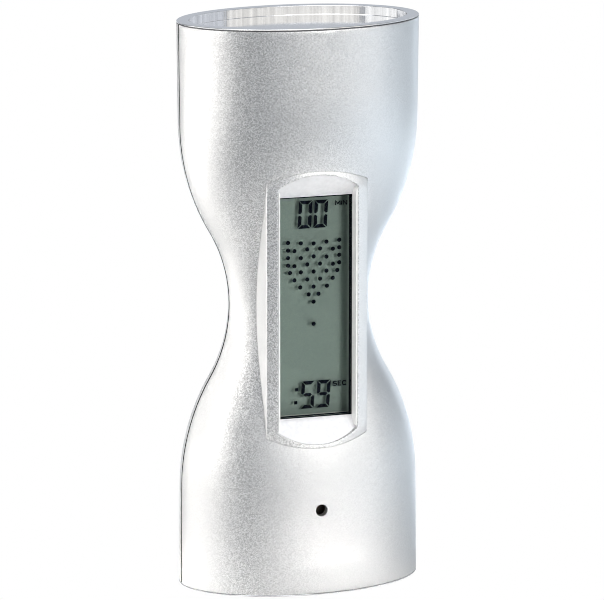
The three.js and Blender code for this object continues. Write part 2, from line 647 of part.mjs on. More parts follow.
function buzzerWire(colour) {
  const [across, above] = BUZZER_JOINTS[colour];
  const start = new THREE.Vector3(across, discRear + WIRE_GAP, SOUND_HOLE.height + above);
  return wire(start, new THREE.Vector3(0, WIRE.lead, 0), pad(BUZZER_PADS[colour]));
}

// The flat cable that runs from the main board back to the key board.
function keyRibbon() {
  const { fromAbove, toAbove, thickness } = RIBBON;
  const fromY = boardRear + FIT;
  const toY = keyBoardFront - FIT;
  const midY = (fromY + toY) / 2;
  const shape = new THREE.Shape();
  shape.moveTo(fromY, fromAbove);
  shape.bezierCurveTo(midY, fromAbove, midY, toAbove, toY, toAbove);
  shape.lineTo(toY, toAbove + thickness);
  shape.bezierCurveTo(midY, toAbove + thickness, midY, fromAbove + thickness, fromY, fromAbove + thickness);
  return prismX(shape, RIBBON.halfWidth, RIBBON.steps);
}

// Assembly

const timer = new THREE.Group();
timer.name = 'electronic_hourglass_timer';

function group(name, position = [0, 0, 0]) {
  const made = new THREE.Group();
  made.name = name;
  made.position.set(...position);
  timer.add(made);
  return made;
}

function place(parent, name, made, finish, position = [0, 0, 0], rotation = [0, 0, 0]) {
  const mesh = new THREE.Mesh(geometryOf(made), new THREE.MeshStandardMaterial(FINISHES[finish]));
  mesh.name = name;
  mesh.position.set(...position);
  mesh.rotation.set(...rotation);
  parent.add(mesh);
}

const turnedOver = [Math.PI, 0, 0];
const turnedRound = [0, 0, Math.PI];

const housing = group('housing');
place(housing, 'front_shell', frontShell(), 'silverPaint');
place(housing, 'rear_shell', rearShell(), 'silverPaint');
place(housing, 'bottom_cap', endCap(), 'glossSilver');
place(housing, 'top_cap', endCap(), 'glossSilver', [0, 0, HEIGHT], turnedOver);
caseScrewPlaces.forEach(({ x, z }, i) => {
  place(housing, `case_screw_${i + 1}`, screw(CASE_SCREW), 'steel', [x, CASE_SCREW_PLACE.seat, z]);
});

const display = group('display', [0, 0, displayMid]);
const lens = displayLayer(lensHalfWidth, LENS.halfHeight, lensFront, lensRear);
const frontFilm = displayLayer(filmHalfWidth, LCD.halfHeight, lcdFront, frontGlassFront);
const frontGlass = displayLayer(glassHalfWidth, frontGlassHalfHeight, frontGlassFront, frontGlassRear);
const rearGlass = displayLayer(glassHalfWidth, LCD.halfHeight, frontGlassRear, rearGlassRear);
const reflector = displayLayer(filmHalfWidth, reflectorHalfHeight, rearGlassRear, lcdRear);
const zebra = zebraStrip(frontGlassRear + TOUCH, boardFront - TOUCH);
place(display, 'display_bezel', displayBezel(), 'silverPaint');
place(display, 'display_surround', displaySurround(), 'paleGloss');
place(display, 'display_lens', lens, 'clear');
place(display, 'lcd_front_polariser', frontFilm, 'clear');
place(display, 'lcd_front_glass', frontGlass, 'clear');
place(display, 'lcd_rear_glass', rearGlass, 'clear');
place(display, 'lcd_reflector', reflector, 'lcdGreen');
place(display, 'lcd_holder', lcdHolder(), 'whitePlastic');
place(display, 'zebra_strip_top', zebra, 'rubber');
place(display, 'zebra_strip_bottom', zebra.mirror([0, 0, 1]), 'rubber');

const electronics = group('electronics');
const chipSpot = [CHIP.x, boardRear + TOUCH, mid + CHIP.above];
const crystalSpot = [CRYSTAL.x, boardRear + FIT + CRYSTAL.radius, mid + CRYSTAL.above];
const capacitorSpot = [CAPACITOR.x, boardRear + FIT + CAPACITOR.radius, mid + CAPACITOR.above];
const tiltY = boardRear + FIT + TILT.radius;
const tiltLow = mid + TILT.above;
const lidLow = tiltLow + TILT.length + TOUCH;
const ballLow = tiltLow + TILT.wall + TOUCH + TILT.ballRadius;
const crystal = rodZ(CRYSTAL.radius, 0, CRYSTAL.length, 0, 0, HOLE_SIDES);
const capacitor = rodZ(CAPACITOR.radius, 0, CAPACITOR.length);
place(electronics, 'main_board', mainBoard(), 'boardGreen');
place(electronics, 'controller_chip', controllerChip(), 'blackEpoxy', chipSpot);
place(electronics, 'quartz_crystal', crystal, 'steel', crystalSpot);
place(electronics, 'buffer_capacitor', capacitor, 'blackEpoxy', capacitorSpot);
place(electronics, 'tilt_switch_can', tiltSwitchCan(), 'steel', [TILT.x, tiltY, tiltLow]);
place(electronics, 'tilt_switch_lid', tiltSwitchLid(), 'greyPlastic', [TILT.x, tiltY, lidLow]);
place(electronics, 'tilt_ball', tiltBall(), 'steel', [TILT.x, tiltY, ballLow]);
boardPosts.forEach(({ x, z }, i) => {
  place(electronics, `board_screw_${i + 1}`, screw(SMALL_SCREW), 'steel', [x, boardRear + TOUCH, z]);
});
place(electronics, 'battery_wire_red', batteryWire('red', lowCellZ), 'redWire');
place(electronics, 'battery_wire_black', batteryWire('black', highCellZ), 'blackWire');
place(electronics, 'buzzer_wire_red', buzzerWire('red'), 'redWire');
place(electronics, 'buzzer_wire_black', buzzerWire('black'), 'blackWire');

const buzzer = group('buzzer', [0, discFront, SOUND_HOLE.height]);
const disc = rodY(BUZZER.radius, 0, BUZZER.disc, 0, 0, DISC_SIDES);
const ceramic = rodY(BUZZER.ceramicRadius, 0, BUZZER.ceramic, 0, 0, DISC_SIDES);
place(buzzer, 'buzzer_disc', disc, 'brass');
place(buzzer, 'buzzer_ceramic', ceramic, 'ceramic', [0, BUZZER.disc + TOUCH, 0]);
place(buzzer, 'buzzer_retainer', buzzerRetainer(), 'greyPlastic', [0, BUZZER.disc + TOUCH, 0]);

const keys = group('keys');
place(keys, 'key_board', keyBoard(), 'boardGreen');
place(keys, 'key_ribbon', keyRibbon(), 'greyPlastic', [0, 0, mid]);
Object.entries(KEYS).forEach(([name, key]) => {
  const spot = [key.x, KEY_BOARD.rear, mid + key.above];
  place(keys, `${name}_button`, keyButton(key), 'greyPlastic', spot);
  place(keys, `${name}_plunger`, rodY(PLUNGER.radius, plungerFoot, plungerTop), 'blackEpoxy', spot);
  place(keys, `${name}_switch`, keySwitch(), 'steel', spot);
});
keyPosts.forEach(({ x, z }, i) => {
  place(keys, `key_screw_${i + 1}`, screw(SMALL_SCREW), 'steel', [x, keyBoardFront - TOUCH, z], turnedRound);
});

const power = group('power');
const lowCell = [0, cellY, lowCellZ];
const highCell = [0, cellY, highCellZ];
const bridge = contactPlate(highCellZ - lowCellZ).mirror([1, 0, 0]);
place(power, 'battery_tray', batteryTray(), 'greyPlastic');
place(power, 'battery_door', batteryDoor(), 'silverPaint');
place(power, 'battery_low', batteryCell(), 'cellJacket', lowCell);
place(power, 'battery_high', batteryCell(), 'cellJacket', highCell, turnedRound);
place(power, 'contact_positive', contactPlate(), 'steel', lowCell);
place(power, 'contact_negative', contactPlate(), 'steel', highCell);
place(power, 'contact_bridge', bridge, 'steel', lowCell);
place(power, 'battery_spring_low', batterySpring(), 'steel', lowCell, turnedRound);
place(power, 'battery_spring_high', batterySpring(), 'steel', highCell);

export default timer;
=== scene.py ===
import math

import bmesh
import bpy
import numpy as np
from mathutils import Matrix, Vector


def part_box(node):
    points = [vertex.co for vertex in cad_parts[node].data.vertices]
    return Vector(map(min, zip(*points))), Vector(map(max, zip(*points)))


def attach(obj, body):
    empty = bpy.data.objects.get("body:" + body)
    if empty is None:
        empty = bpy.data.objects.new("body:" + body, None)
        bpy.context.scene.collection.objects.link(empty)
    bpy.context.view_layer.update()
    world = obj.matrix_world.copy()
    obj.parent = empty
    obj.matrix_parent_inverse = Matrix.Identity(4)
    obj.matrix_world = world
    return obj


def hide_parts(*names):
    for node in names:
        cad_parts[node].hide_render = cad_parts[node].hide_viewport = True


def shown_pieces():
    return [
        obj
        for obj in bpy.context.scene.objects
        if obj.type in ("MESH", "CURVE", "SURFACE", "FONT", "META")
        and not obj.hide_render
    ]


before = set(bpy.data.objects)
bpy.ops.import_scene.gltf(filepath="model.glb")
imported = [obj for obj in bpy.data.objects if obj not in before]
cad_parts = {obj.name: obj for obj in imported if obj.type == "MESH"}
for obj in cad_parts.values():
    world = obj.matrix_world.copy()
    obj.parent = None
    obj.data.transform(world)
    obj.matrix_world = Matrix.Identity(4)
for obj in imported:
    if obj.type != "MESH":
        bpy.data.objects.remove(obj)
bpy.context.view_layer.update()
scene = bpy.context.scene
mm = 0.001  # every size below is in millimetres
weld = 1e-7  # points closer than this, in metres, are one
crease = 35  # an edge stays sharp where the surface turns more than this many degrees
nearAxis = 0.02  # turned shapes stop this near their axis, in millimetres or as a share of their radius
overrun = 1.0  # how far a cutter runs past what it cuts
fit = 0.3  # room between parts that go together
boxCorners = np.array([(-1, -1), (1, -1), (1, 1), (-1, 1)])
print("frame loaded:", len(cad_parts), "nodes")


def nodeBox(node):
    low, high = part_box(node)
    return np.array(low) / mm, np.array(high) / mm


def centreOf(node):
    low, high = nodeBox(node)
    return (low + high) / 2


def fullTurn(steps):
    return np.linspace(0, 2 * np.pi, steps, endpoint=False)


def quarter(steps):  # a quarter round: points from (1, 0) to (0, 1) on a unit circle
    turn = np.linspace(0, np.pi / 2, steps)
    return np.cos(turn), np.sin(turn)


# Mesh making: points come as whole numpy arrays, faces as index arrays
def makePiece(name, points, faces, sharp=crease):
    mesh = bpy.data.meshes.new(name)
    mesh.from_pydata((points.reshape(-1, 3) * mm).tolist(), [], faces)
    bm = bmesh.new()
    bm.from_mesh(mesh)
    bmesh.ops.remove_doubles(bm, verts=bm.verts, dist=weld)
    bmesh.ops.recalc_face_normals(bm, faces=bm.faces)
    bm.to_mesh(mesh)
    bm.free()
    return shade(showMesh(name, mesh), sharp)


def showMesh(name, mesh):
    made = bpy.data.objects.new(name, mesh)
    scene.collection.objects.link(made)
    return made


def shade(piece, sharp=crease):  # smooth faces, with sharp edges kept
    piece.data.shade_smooth()
    piece.data.set_sharp_from_angle(angle=math.radians(sharp))
    return piece


def gather(name, pieces):  # several pieces as one
    bm = bmesh.new()
    for piece in pieces:
        bm.from_mesh(piece.data)
        bpy.data.objects.remove(piece)
    mesh = bpy.data.meshes.new(name)
    bm.to_mesh(mesh)
    bm.free()
    return showMesh(name, mesh)


# A skin through rings of equal point counts, rings[level, around]; it ends in flat caps, or closes on itself.
def loft(name, rings, closed=False, sharp=crease):
    levels, around = rings.shape[:2]
    row = np.arange(levels if closed else levels - 1)[:, None] * around
    here = np.arange(around)[None, :]
    beside = np.roll(here, -1, axis=1)
    above = (row + around) % (levels * around)
    quads = np.stack([row + here, row + beside, above + beside, above + here], axis=-1)
    faces = quads.reshape(-1, 4).tolist()
    if not closed:
        faces += [here[0].tolist(), (here[0] + (levels - 1) * around).tolist()]
    return makePiece(name, rings, faces, sharp)


# Two facing grids of the same shape, joined round their borders.
def slab(name, front, back):
    rows, columns = front.shape[:2]
    index = np.arange(rows * columns).reshape(rows, columns)
    quads = np.stack([index[:-1, :-1], index[1:, :-1], index[1:, 1:], index[:-1, 1:]], axis=-1).reshape(-1, 4)
    rim = np.concatenate([index[0], index[1:, -1], index[-1, -2::-1], index[-2:0:-1, 0]])
    beside = np.roll(rim, -1)
    walls = np.stack([rim, beside, beside + index.size, rim + index.size], axis=-1)
    faces = np.concatenate([quads, quads[:, ::-1] + index.size, walls]).tolist()
    return makePiece(name, np.concatenate([front.reshape(-1, 3), back.reshape(-1, 3)]), faces)


# A profile of (radius, along) pairs turned about a line through a point; axis says which way the line runs.
def turnedRings(profile, point, axis, sides):
    profile = np.asarray(profile, float)
    turn = fullTurn(sides)
    across = profile[:, :1] * np.cos(turn)
    other = profile[:, :1] * np.sin(turn)
    along = np.repeat(profile[:, 1:], sides, axis=1)
    order = {"x": (along, across, other), "y": (across, along, other), "z": (across, other, along)}[axis]
    return np.stack(order, axis=-1) + np.asarray(point, float)


def turned(name, profile, point, axis="y", sides=64, sharp=crease):
    return loft(name, turnedRings(profile, point, axis, sides), sharp=sharp)


def carve(piece, cutter, operation="DIFFERENCE"):
    modifier = piece.modifiers.new("carve", "BOOLEAN")
    modifier.object = cutter
    modifier.operation = operation
    modifier.solver = "MANIFOLD"
    made = bpy.data.meshes.new_from_object(piece.evaluated_get(bpy.context.evaluated_depsgraph_get()))
    piece.modifiers.clear()
    piece.data = made
    bpy.data.objects.remove(cutter)
    shade(piece)


# A piece's finish and motion, and the nodes that it stands for.
def settle(piece, material, slot, *nodes, body="case"):
    piece.data.materials.clear()
    piece.data.materials.append(material)
    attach(piece, body)
    if nodes:
        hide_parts(*nodes)


# Finishes: a socket takes a plain value, or another node's output
def feed(tree, socket, value):
    if isinstance(value, bpy.types.NodeSocket):
        tree.links.new(value, socket)
    else:
        socket.default_value = value


def feedAll(tree, node, sockets):
    for label, value in sockets.items():
        feed(tree, node.inputs[label.replace("_", " ")], value)
    return node


def addNode(tree, kind, settings=None, **sockets):
    node = tree.nodes.new("ShaderNode" + kind)
    for key, value in (settings or {}).items():
        setattr(node, key, value)
    return feedAll(tree, node, sockets)


def mathNode(tree, operation, *values, kind="Math"):
    node = addNode(tree, kind, {"operation": operation})
    for socket, value in zip(node.inputs, values):
        feed(tree, socket, value)
    return node.outputs[0]


def objectPlace(tree):
    return addNode(tree, "TexCoord").outputs["Object"]


def parts(tree, vector):  # a vector's X, Y and Z
    return addNode(tree, "SeparateXYZ", Vector=vector).outputs


# Two colours mixed by a share, or multiplied.
def mixColours(tree, first, second, blend="MIX", share=1.0):
    node = addNode(tree, "Mix", {"data_type": "RGBA", "blend_type": blend})
    for index, value in ((0, share), (6, first), (7, second)):  # where the node keeps its colour sockets
        feed(tree, node.inputs[index], value)
    return node.outputs[2]


def mixShaders(tree, share, first, second):
    node = addNode(tree, "MixShader")
    for socket, value in zip(node.inputs, (share, first, second)):
        feed(tree, socket, value)
    return node.outputs[0]


def newMaterial(name, **sockets):
    material = bpy.data.materials.new(name)
    material.use_nodes = True
    tree = material.node_tree
    return material, tree, feedAll(tree, tree.nodes["Principled BSDF"], sockets)


def addBump(tree, shader, height, depth):
    bump = addNode(tree, "Bump", Height=height, Distance=depth * mm)
    feed(tree, shader.inputs["Normal"], bump.outputs[0])


def newGroup(name, inputs, outputs):
    tree = bpy.data.node_groups.new(name, "ShaderNodeTree")
    for label in inputs:
        tree.interface.new_socket(label, in_out="INPUT", socket_type="NodeSocketFloat")
    for label, kind in outputs.items():
        tree.interface.new_socket(label, in_out="OUTPUT", socket_type="NodeSocket" + kind)
    return tree, tree.nodes.new("NodeGroupInput").outputs, tree.nodes.new("NodeGroupOutput").inputs


def useGroup(tree, group, **sockets):
    return addNode(tree, "Group", {"node_tree": group}, **sockets).outputs


# Metal flakes in paint: each cell of a fine pattern leans its own way, and is painted a little lighter when
# it leans left, toward the bright lamps, and darker when it leans right: painted glints.
# The painted glints are strongest on a surface that faces front and a little left, and fade where it faces
# far left into the lamps' highlight or turns right; low on the case, only on one further to the left.
flake = {"front": (0.35, -0.15), "left": (-0.75, -0.4), "least": 0.08, "offsetFrom": 70, "offsetTo": 45}


def makeFlakeGroup():
    tree, given, wanted = newGroup("metal flakes", ("Per metre", "Lean", "Glitter", "Settle"),
                                   {"Shade": "Float", "Normal": "Vector"})
    place = objectPlace(tree)
    surface = addNode(tree, "NewGeometry").outputs["Normal"]
    cells = addNode(tree, "TexVoronoi", {"feature": "F1"}, Vector=place, Scale=given["Per metre"],
                    Randomness=1.0)
    centred = mathNode(tree, "SUBTRACT", cells.outputs["Color"], (0.5, 0.5, 0.5), kind="VectorMath")
    leaning = addNode(tree, "VectorMath", {"operation": "SCALE"}, Vector=centred, Scale=given["Lean"])
    tilted = mathNode(tree, "ADD", surface, leaning.outputs[0], kind="VectorMath")
    feed(tree, wanted["Normal"], mathNode(tree, "NORMALIZE", tilted, kind="VectorMath"))
    facing = parts(tree, surface)["X"]
    low = addNode(tree, "MapRange", Value=parts(tree, place)["Z"], From_Min=flake["offsetFrom"] * mm,
                  From_Max=flake["offsetTo"] * mm)
    shifted = mathNode(tree, "ADD", facing, mathNode(tree, "MULTIPLY", low.outputs[0], given["Settle"]))
    ramps = []
    for across, (start, end) in ((shifted, flake["front"]), (facing, flake["left"])):
        ramp = addNode(tree, "MapRange", Value=across, From_Min=start, From_Max=end, To_Min=flake["least"],
                       To_Max=1.0)
        ramps.append(ramp.outputs[0])
    strength = mathNode(tree, "MULTIPLY", mathNode(tree, "MINIMUM", *ramps), given["Glitter"])
    # painted glint: a flake leaning left, toward the bright lamps, is painted lighter
    swing = mathNode(tree, "MULTIPLY", parts(tree, centred)["X"], strength)
    feed(tree, wanted["Shade"], mathNode(tree, "SUBTRACT", 1.0, swing))
    return tree


# Fine grain: soft noise for roughness, a shallow height and a little lighter and darker colour.
def makeGrainGroup():
    tree, given, wanted = newGroup("fine grain", ("Per metre", "Roughness", "Spread", "Tone"),
                                   {"Roughness": "Float", "Height": "Float", "Shade": "Float"})
    cloud = addNode(tree, "TexNoise", Vector=objectPlace(tree), Scale=given["Per metre"], Detail=4.0)
    noise = cloud.outputs["Fac"]
    centred = mathNode(tree, "SUBTRACT", noise, 0.5)
    swing = mathNode(tree, "MULTIPLY", centred, given["Spread"])
    feed(tree, wanted["Roughness"], mathNode(tree, "ADD", swing, given["Roughness"]))
    feed(tree, wanted["Height"], noise)
    tone = mathNode(tree, "MULTIPLY", centred, given["Tone"])
    feed(tree, wanted["Shade"], mathNode(tree, "ADD", tone, 1.0))
    return tree


flakeGroup = makeFlakeGroup()
grainGroup = makeGrainGroup()


# Silver paint; where a parting line is given, a band that far either side of the seam is painted near-black:
# painted shade for the shadow in the gap between the case halves.
def silverPaint(name, colour, perMetre=4800.0, lean=0.13, glitter=0.75, low=0.0, seam=0.0):
    material, tree, shader = newMaterial(name, Roughness=0.42, Metallic=0.9)
    # low moves the painted glints onto surfaces facing further left, low on the case where it sits in
    # highlight
    flakes = useGroup(tree, flakeGroup, Per_metre=perMetre, Lean=lean, Glitter=glitter, Settle=low)
    shown = mixColours(tree, colour, flakes["Shade"], "MULTIPLY")
    if seam:
        away = mathNode(tree, "ABSOLUTE", parts(tree, objectPlace(tree))["Y"])
        # painted shade: near-black along the seam, where the gap's shadow falls
        seamShade = mathNode(tree, "LESS_THAN", away, seam * mm)
        shown = mixColours(tree, shown, (0.012, 0.014, 0.015, 1), share=seamShade)
    feed(tree, shader.inputs["Base Color"], shown)
    feed(tree, shader.inputs["Normal"], flakes["Normal"])
    return material


# A moulded or metal finish; its colour is plain, or a function that builds a pattern in the material's tree.
def grained(name, colour, roughness, metallic=0.0, perMetre=900.0, depth=0.02, tone=0.25, **sockets):
    material, tree, shader = newMaterial(name, Metallic=metallic, **sockets)
    grain = useGroup(tree, grainGroup, Per_metre=perMetre, Roughness=roughness, Spread=0.12, Tone=tone)
    pattern = colour(tree) if callable(colour) else colour
    feed(tree, shader.inputs["Base Color"], mixColours(tree, pattern, grain["Shade"], "MULTIPLY"))
    feed(tree, shader.inputs["Roughness"], grain["Roughness"])
    addBump(tree, shader, grain["Height"], depth)
    return material


# Glossy plating; upright walls keep the fine streaks of the mould, in tone and in height.
def streaked(name, colour, roughness, metallic, depth=0.05):
    material, tree, shader = newMaterial(name, Metallic=metallic)
    grain = useGroup(tree, grainGroup, Per_metre=500.0, Roughness=roughness, Spread=0.06, Tone=0.08)
    feed(tree, shader.inputs["Roughness"], grain["Roughness"])
    stretch = addNode(tree, "Mapping", Vector=objectPlace(tree), Scale=(700.0, 700.0, 8.0))
    noise = addNode(tree, "TexNoise", Vector=stretch.outputs[0], Scale=1.0, Detail=3.0, Roughness=0.7)
    facing = parts(tree, addNode(tree, "NewGeometry").outputs["True Normal"])["Z"]
    upright = mathNode(tree, "LESS_THAN", mathNode(tree, "ABSOLUTE", facing), 0.5)
    streak = mathNode(tree, "MULTIPLY", mathNode(tree, "SUBTRACT", noise.outputs["Fac"], 0.5), upright)
    tone = mathNode(tree, "ADD", streak, grain["Shade"])
    feed(tree, shader.inputs["Base Color"], mixColours(tree, colour, tone, "MULTIPLY"))
    addBump(tree, shader, streak, depth)
    return material


# Clear sheet: light passes straight through, and more of it is mirrored at a low angle.
def clearSheet(name, tint, ior, roughness):
    material, tree, shader = newMaterial(name)
    tree.nodes.remove(shader)
    through = addNode(tree, "BsdfTransparent", Color=tint).outputs[0]
    mirror = addNode(tree, "BsdfGlossy", Roughness=roughness).outputs[0]
    angle = addNode(tree, "Fresnel", IOR=ior).outputs[0]
    feed(tree, tree.nodes["Material Output"].inputs["Surface"], mixShaders(tree, angle, through, mirror))
    return material


def bands(tree, place, axis, pitch):  # a smooth wave along one axis
    scale = 2 * math.pi / 20 / (pitch * mm)  # at a scale of 1 the node's wave is 2 pi / 20 long
    wave = addNode(tree, "TexWave", {"bands_direction": axis}, Vector=place, Scale=scale)
    return wave.outputs["Fac"]


def stripes(pitch, first, second):  # two colours by turns across the width
    return lambda tree: mixColours(tree, first, second, share=bands(tree, objectPlace(tree), "X", pitch))


# Solder mask over copper tracks: lines both ways, each kept only where a soft noise lets it through.
def solderMask(mask, track, pitch=2.2, width=0.86):
    def build(tree):
        place = objectPlace(tree)
        keep = addNode(tree, "TexNoise", Vector=place, Scale=180.0, Detail=1.0).outputs["Fac"]
        lines = []
        for axis, test in (("X", "GREATER_THAN"), ("Z", "LESS_THAN")):
            line = mathNode(tree, "GREATER_THAN", bands(tree, place, axis, pitch), width)
            lines.append(mathNode(tree, "MULTIPLY", line, mathNode(tree, test, keep, 0.5)))
        return mixColours(tree, mask, track, share=mathNode(tree, "MAXIMUM", *lines))
    return build


# A cell's film: metal ends, a pale band round the end with the nub, and a slate jacket.
# Side says which way along X the nub points.
def cellFilm(side, shoulder, foot, band=9.0, metal=0.5):
    def build(tree):
        along = mathNode(tree, "MULTIPLY", parts(tree, objectPlace(tree))["X"], side / mm)
        banded = mathNode(tree, "GREATER_THAN", along, shoulder - band)
        jacket = mixColours(tree, (0.043, 0.068, 0.125, 1), (0.5, 0.52, 0.55, 1), share=banded)
        ends = mathNode(tree, "MAXIMUM", mathNode(tree, "GREATER_THAN", along, shoulder - metal),
                        mathNode(tree, "LESS_THAN", along, foot + metal))
        return mixColours(tree, jacket, (0.7, 0.7, 0.71, 1), share=ends)
    return build


finish = {
    "silver": silverPaint("silver flake paint", (0.74, 0.74, 0.745, 1), low=0.3, seam=0.34),
    # the bezel's paint is the case's silver made lighter, though the real parts share one paint: painted
    # light, so the bezel reads brighter
    "bezelSilver": silverPaint("brightened silver flake paint", (0.78, 0.78, 0.785, 1), perMetre=4600.0,
                               lean=0.12, glitter=0.8),
    "gloss": streaked("glossy plated plastic", (0.84, 0.85, 0.88, 1), roughness=0.1, metallic=0.75),
    "sill": grained("pale satin plastic", (0.83, 0.83, 0.85, 1), 0.35, metallic=0.35),
    "lining": grained("white satin plastic", (0.95, 0.95, 0.94, 1), 0.3),
    "lens": clearSheet("clear acrylic", (0.995, 0.995, 0.995, 1), ior=1.1, roughness=0.03),
    "film": clearSheet("polarising film", (0.97, 0.98, 0.975, 1), ior=1.03, roughness=0.2),
    "glass": clearSheet("display glass", (0.985, 0.995, 0.99, 1), ior=1.03, roughness=0.05),
    "reflector": grained("display reflector", (0.36, 0.418, 0.378, 1), 0.5, perMetre=1500.0,
                         Specular_IOR_Level=0.0),
    "ink": grained("display segments", (0.006, 0.008, 0.014, 1), 0.5, Specular_IOR_Level=0.0),
    "whitePlastic": grained("white moulded plastic", (0.78, 0.78, 0.75, 1), 0.45),
    "greyPlastic": grained("grey moulded plastic", (0.28, 0.285, 0.295, 1), 0.5, depth=0.04),
    "button": grained("satin button plastic", (0.30, 0.305, 0.32, 1), 0.42, depth=0.03),
    "plunger": grained("black moulded plastic", (0.012, 0.012, 0.013, 1), 0.45),
    "epoxy": grained("black epoxy", (0.01, 0.01, 0.011, 1), 0.28, perMetre=350.0, depth=0.08),
    "brightSteel": grained("nickel plated steel", (0.66, 0.66, 0.67, 1), 0.24, metallic=1.0, perMetre=1400.0),
    "screwSteel": grained("zinc plated steel", (0.52, 0.53, 0.55, 1), 0.36, metallic=1.0, perMetre=1400.0),
    # brass kept nearly black: painted shade, so the buzzer disc seen through the sound hole reads dark
    "brass": grained("brass plate in painted shade", (0.15, 0.13, 0.1, 1), 0.36, metallic=1.0, perMetre=1200.0),
    "ceramic": grained("silvered ceramic", (0.72, 0.69, 0.60, 1), 0.5, perMetre=2000.0),
    "zebra": grained("layered rubber", stripes(0.4, (0.01, 0.01, 0.011, 1), (0.11, 0.11, 0.115, 1)), 0.75),
    "ribbon": grained("flat cable", stripes(1.0, (0.36, 0.36, 0.37, 1), (0.22, 0.22, 0.225, 1)), 0.5),
    "board": grained("green board", solderMask((0.008, 0.085, 0.032, 1), (0.03, 0.19, 0.06, 1)), 0.38,
                     depth=0.03),
    "wireRed": grained("red insulation", (0.42, 0.012, 0.01, 1), 0.4),
    "wireBlack": grained("black insulation", (0.012, 0.012, 0.013, 1), 0.4),
}
print("finishes made:", len(finish))


# Case outline: an arc round the waist, an arc over the shoulder, then a wall with a little draft
capHigh = nodeBox("bottom_cap")[1]
height = nodeBox("top_cap")[1][2]
middle = height / 2
caseShape = {
    "width": {"end": capHigh[0], "waist": 18.35, "waistRadius": 37.0, "wallStart": 46.3, "draft": 0.5},
    "depth": {"end": capHigh[1], "waist": 10.2, "waistRadius": 60.0, "wallStart": 56.0, "draft": 0.57},
    "wall": 1.8, "edge": 0.2, "edgeSteps": 5, "seamEdge": 0.25, "endGap": (0.38, 0.6),
    "levels": 170, "around": 110,
}


# The shoulder's radius and centre follow from the other sizes, so that each stretch meets the next smoothly.
def outlineArcs(end, waist, waistRadius, wallStart, draft):
    lean = math.radians(draft)
    foot = end - (middle - wallStart) * math.tan(lean)
    swell = foot - waist
    top = wallStart ** 2 + swell ** 2 - 2 * waistRadius * swell
    bottom = waistRadius * (1 - math.cos(lean)) + swell * math.cos(lean) - wallStart * math.sin(lean)
    shoulder = top / 2 / bottom
    centre = (wallStart + shoulder * math.sin(lean), foot - shoulder * math.cos(lean))
    meeting = waistRadius * math.sin(math.atan2(centre[0], waist + waistRadius - centre[1]))
    return {"waist": waist, "waistRadius": waistRadius, "wallStart": wallStart, "lean": lean, "foot": foot,
            "shoulder": shoulder, "centre": centre, "meeting": meeting}


widthArcs = outlineArcs(**caseShape["width"])
depthArcs = outlineArcs(**caseShape["depth"])


def halfSize(arcs, z):
    rise = np.abs(z - middle)
    near = np.minimum(rise, arcs["meeting"])
    waistArc = arcs["waist"] + arcs["waistRadius"] - np.sqrt(arcs["waistRadius"] ** 2 - near ** 2)
    over = np.clip(rise, arcs["meeting"], arcs["wallStart"])
    shoulderArc = arcs["centre"][1] + np.sqrt(arcs["shoulder"] ** 2 - (arcs["centre"][0] - over) ** 2)
    straight = arcs["foot"] + (rise - arcs["wallStart"]) * math.tan(arcs["lean"])
    upper = np.where(rise < arcs["wallStart"], shoulderArc, straight)
    return np.where(rise < arcs["meeting"], waistArc, upper)


def caseDepth(x, z, inset=0.0):  # how far the case's surface lies from the seam plane
    across = np.minimum(1, np.abs(x) / (halfSize(widthArcs, z) - inset))
    return (halfSize(depthArcs, z) - inset) * np.sqrt(1 - across ** 2)


# Half a case: a loop up the outside and down the inside, with round edges, carried round half an oval.
def halfShell(name, node, side):
    low, high = nodeBox(node)
    zLow, zHigh = caseShape["endGap"][0], height - caseShape["endGap"][1]
    edge, wall, seamEdge = caseShape["edge"], caseShape["wall"], caseShape["seamEdge"]
    gap = -high[1] if side < 0 else low[1]
    c, s = quarter(caseShape["edgeSteps"])
    zOut = np.linspace(zLow + edge, zHigh - edge, caseShape["levels"])
    zIn = np.linspace(zHigh, zLow, caseShape["levels"] // 2)
    z = np.concatenate([zLow + edge * (1 - s[::-1]), zOut[1:-1], zHigh - edge * (1 - s), zIn])
    inset = np.concatenate([edge * (1 - c[::-1]), 0 * zOut[1:-1], edge * (1 - c), wall + 0 * zIn])
    outside = np.concatenate([np.ones(z.size - zIn.size), 0 * zIn])
    across = halfSize(widthArcs, z) - inset
    deep = halfSize(depthArcs, z) - inset
    start = np.arcsin((gap + seamEdge) / deep)[None, :]
    turn = start + (np.pi - 2 * start) * np.linspace(0, 1, caseShape["around"])[:, None]
    body = np.stack([across * np.cos(turn), deep * np.sin(turn), z + 0 * turn], axis=-1)
    # the last rows turn the outer edge round into the seam face
    seamY = gap + seamEdge * (1 - s[1:])[:, None]
    seamX = (across - seamEdge * (1 - c[1:])[:, None] * outside) * np.sqrt(1 - (seamY / deep) ** 2)
    right = np.stack([seamX, seamY + 0 * seamX, z + 0 * seamX], axis=-1)
    left = right[::-1] * (-1, 1, 1)
    rings = np.concatenate([right[::-1], body, left[::-1]]) * (1, side, 1)
    return loft(name, rings)


frontShell = halfShell("front_case", "front_shell", -1)
rearShell = halfShell("rear_case", "rear_shell", 1)
print("case halves made")


# Display frame: each outline is half its width, where its corners are, and the top of its arch
bezelLow, bezelHigh = nodeBox("display_bezel")
displayMiddle = (bezelLow[2] + bezelHigh[2]) / 2
lensLow, lensHigh = nodeBox("display_lens")
bezel = {
    "outer": (bezelHigh[0], 32.65, bezelHigh[2] - displayMiddle), "window": (10.4, 31.1, 34.5),
    "wall": 1.4, "faceRadius": 35.3, "outerEdge": 0.15, "windowEdge": 0.3, "edgeSteps": 5, "faceSteps": 8,
    "proud": 0.45, "endBand": 2.4, "endSlope": 0.18, "caseGap": 0.03, "sideSteps": 150, "archSteps": 70,
}


def archRadius(half, rise):
    return (half ** 2 + rise ** 2) / 2 / rise


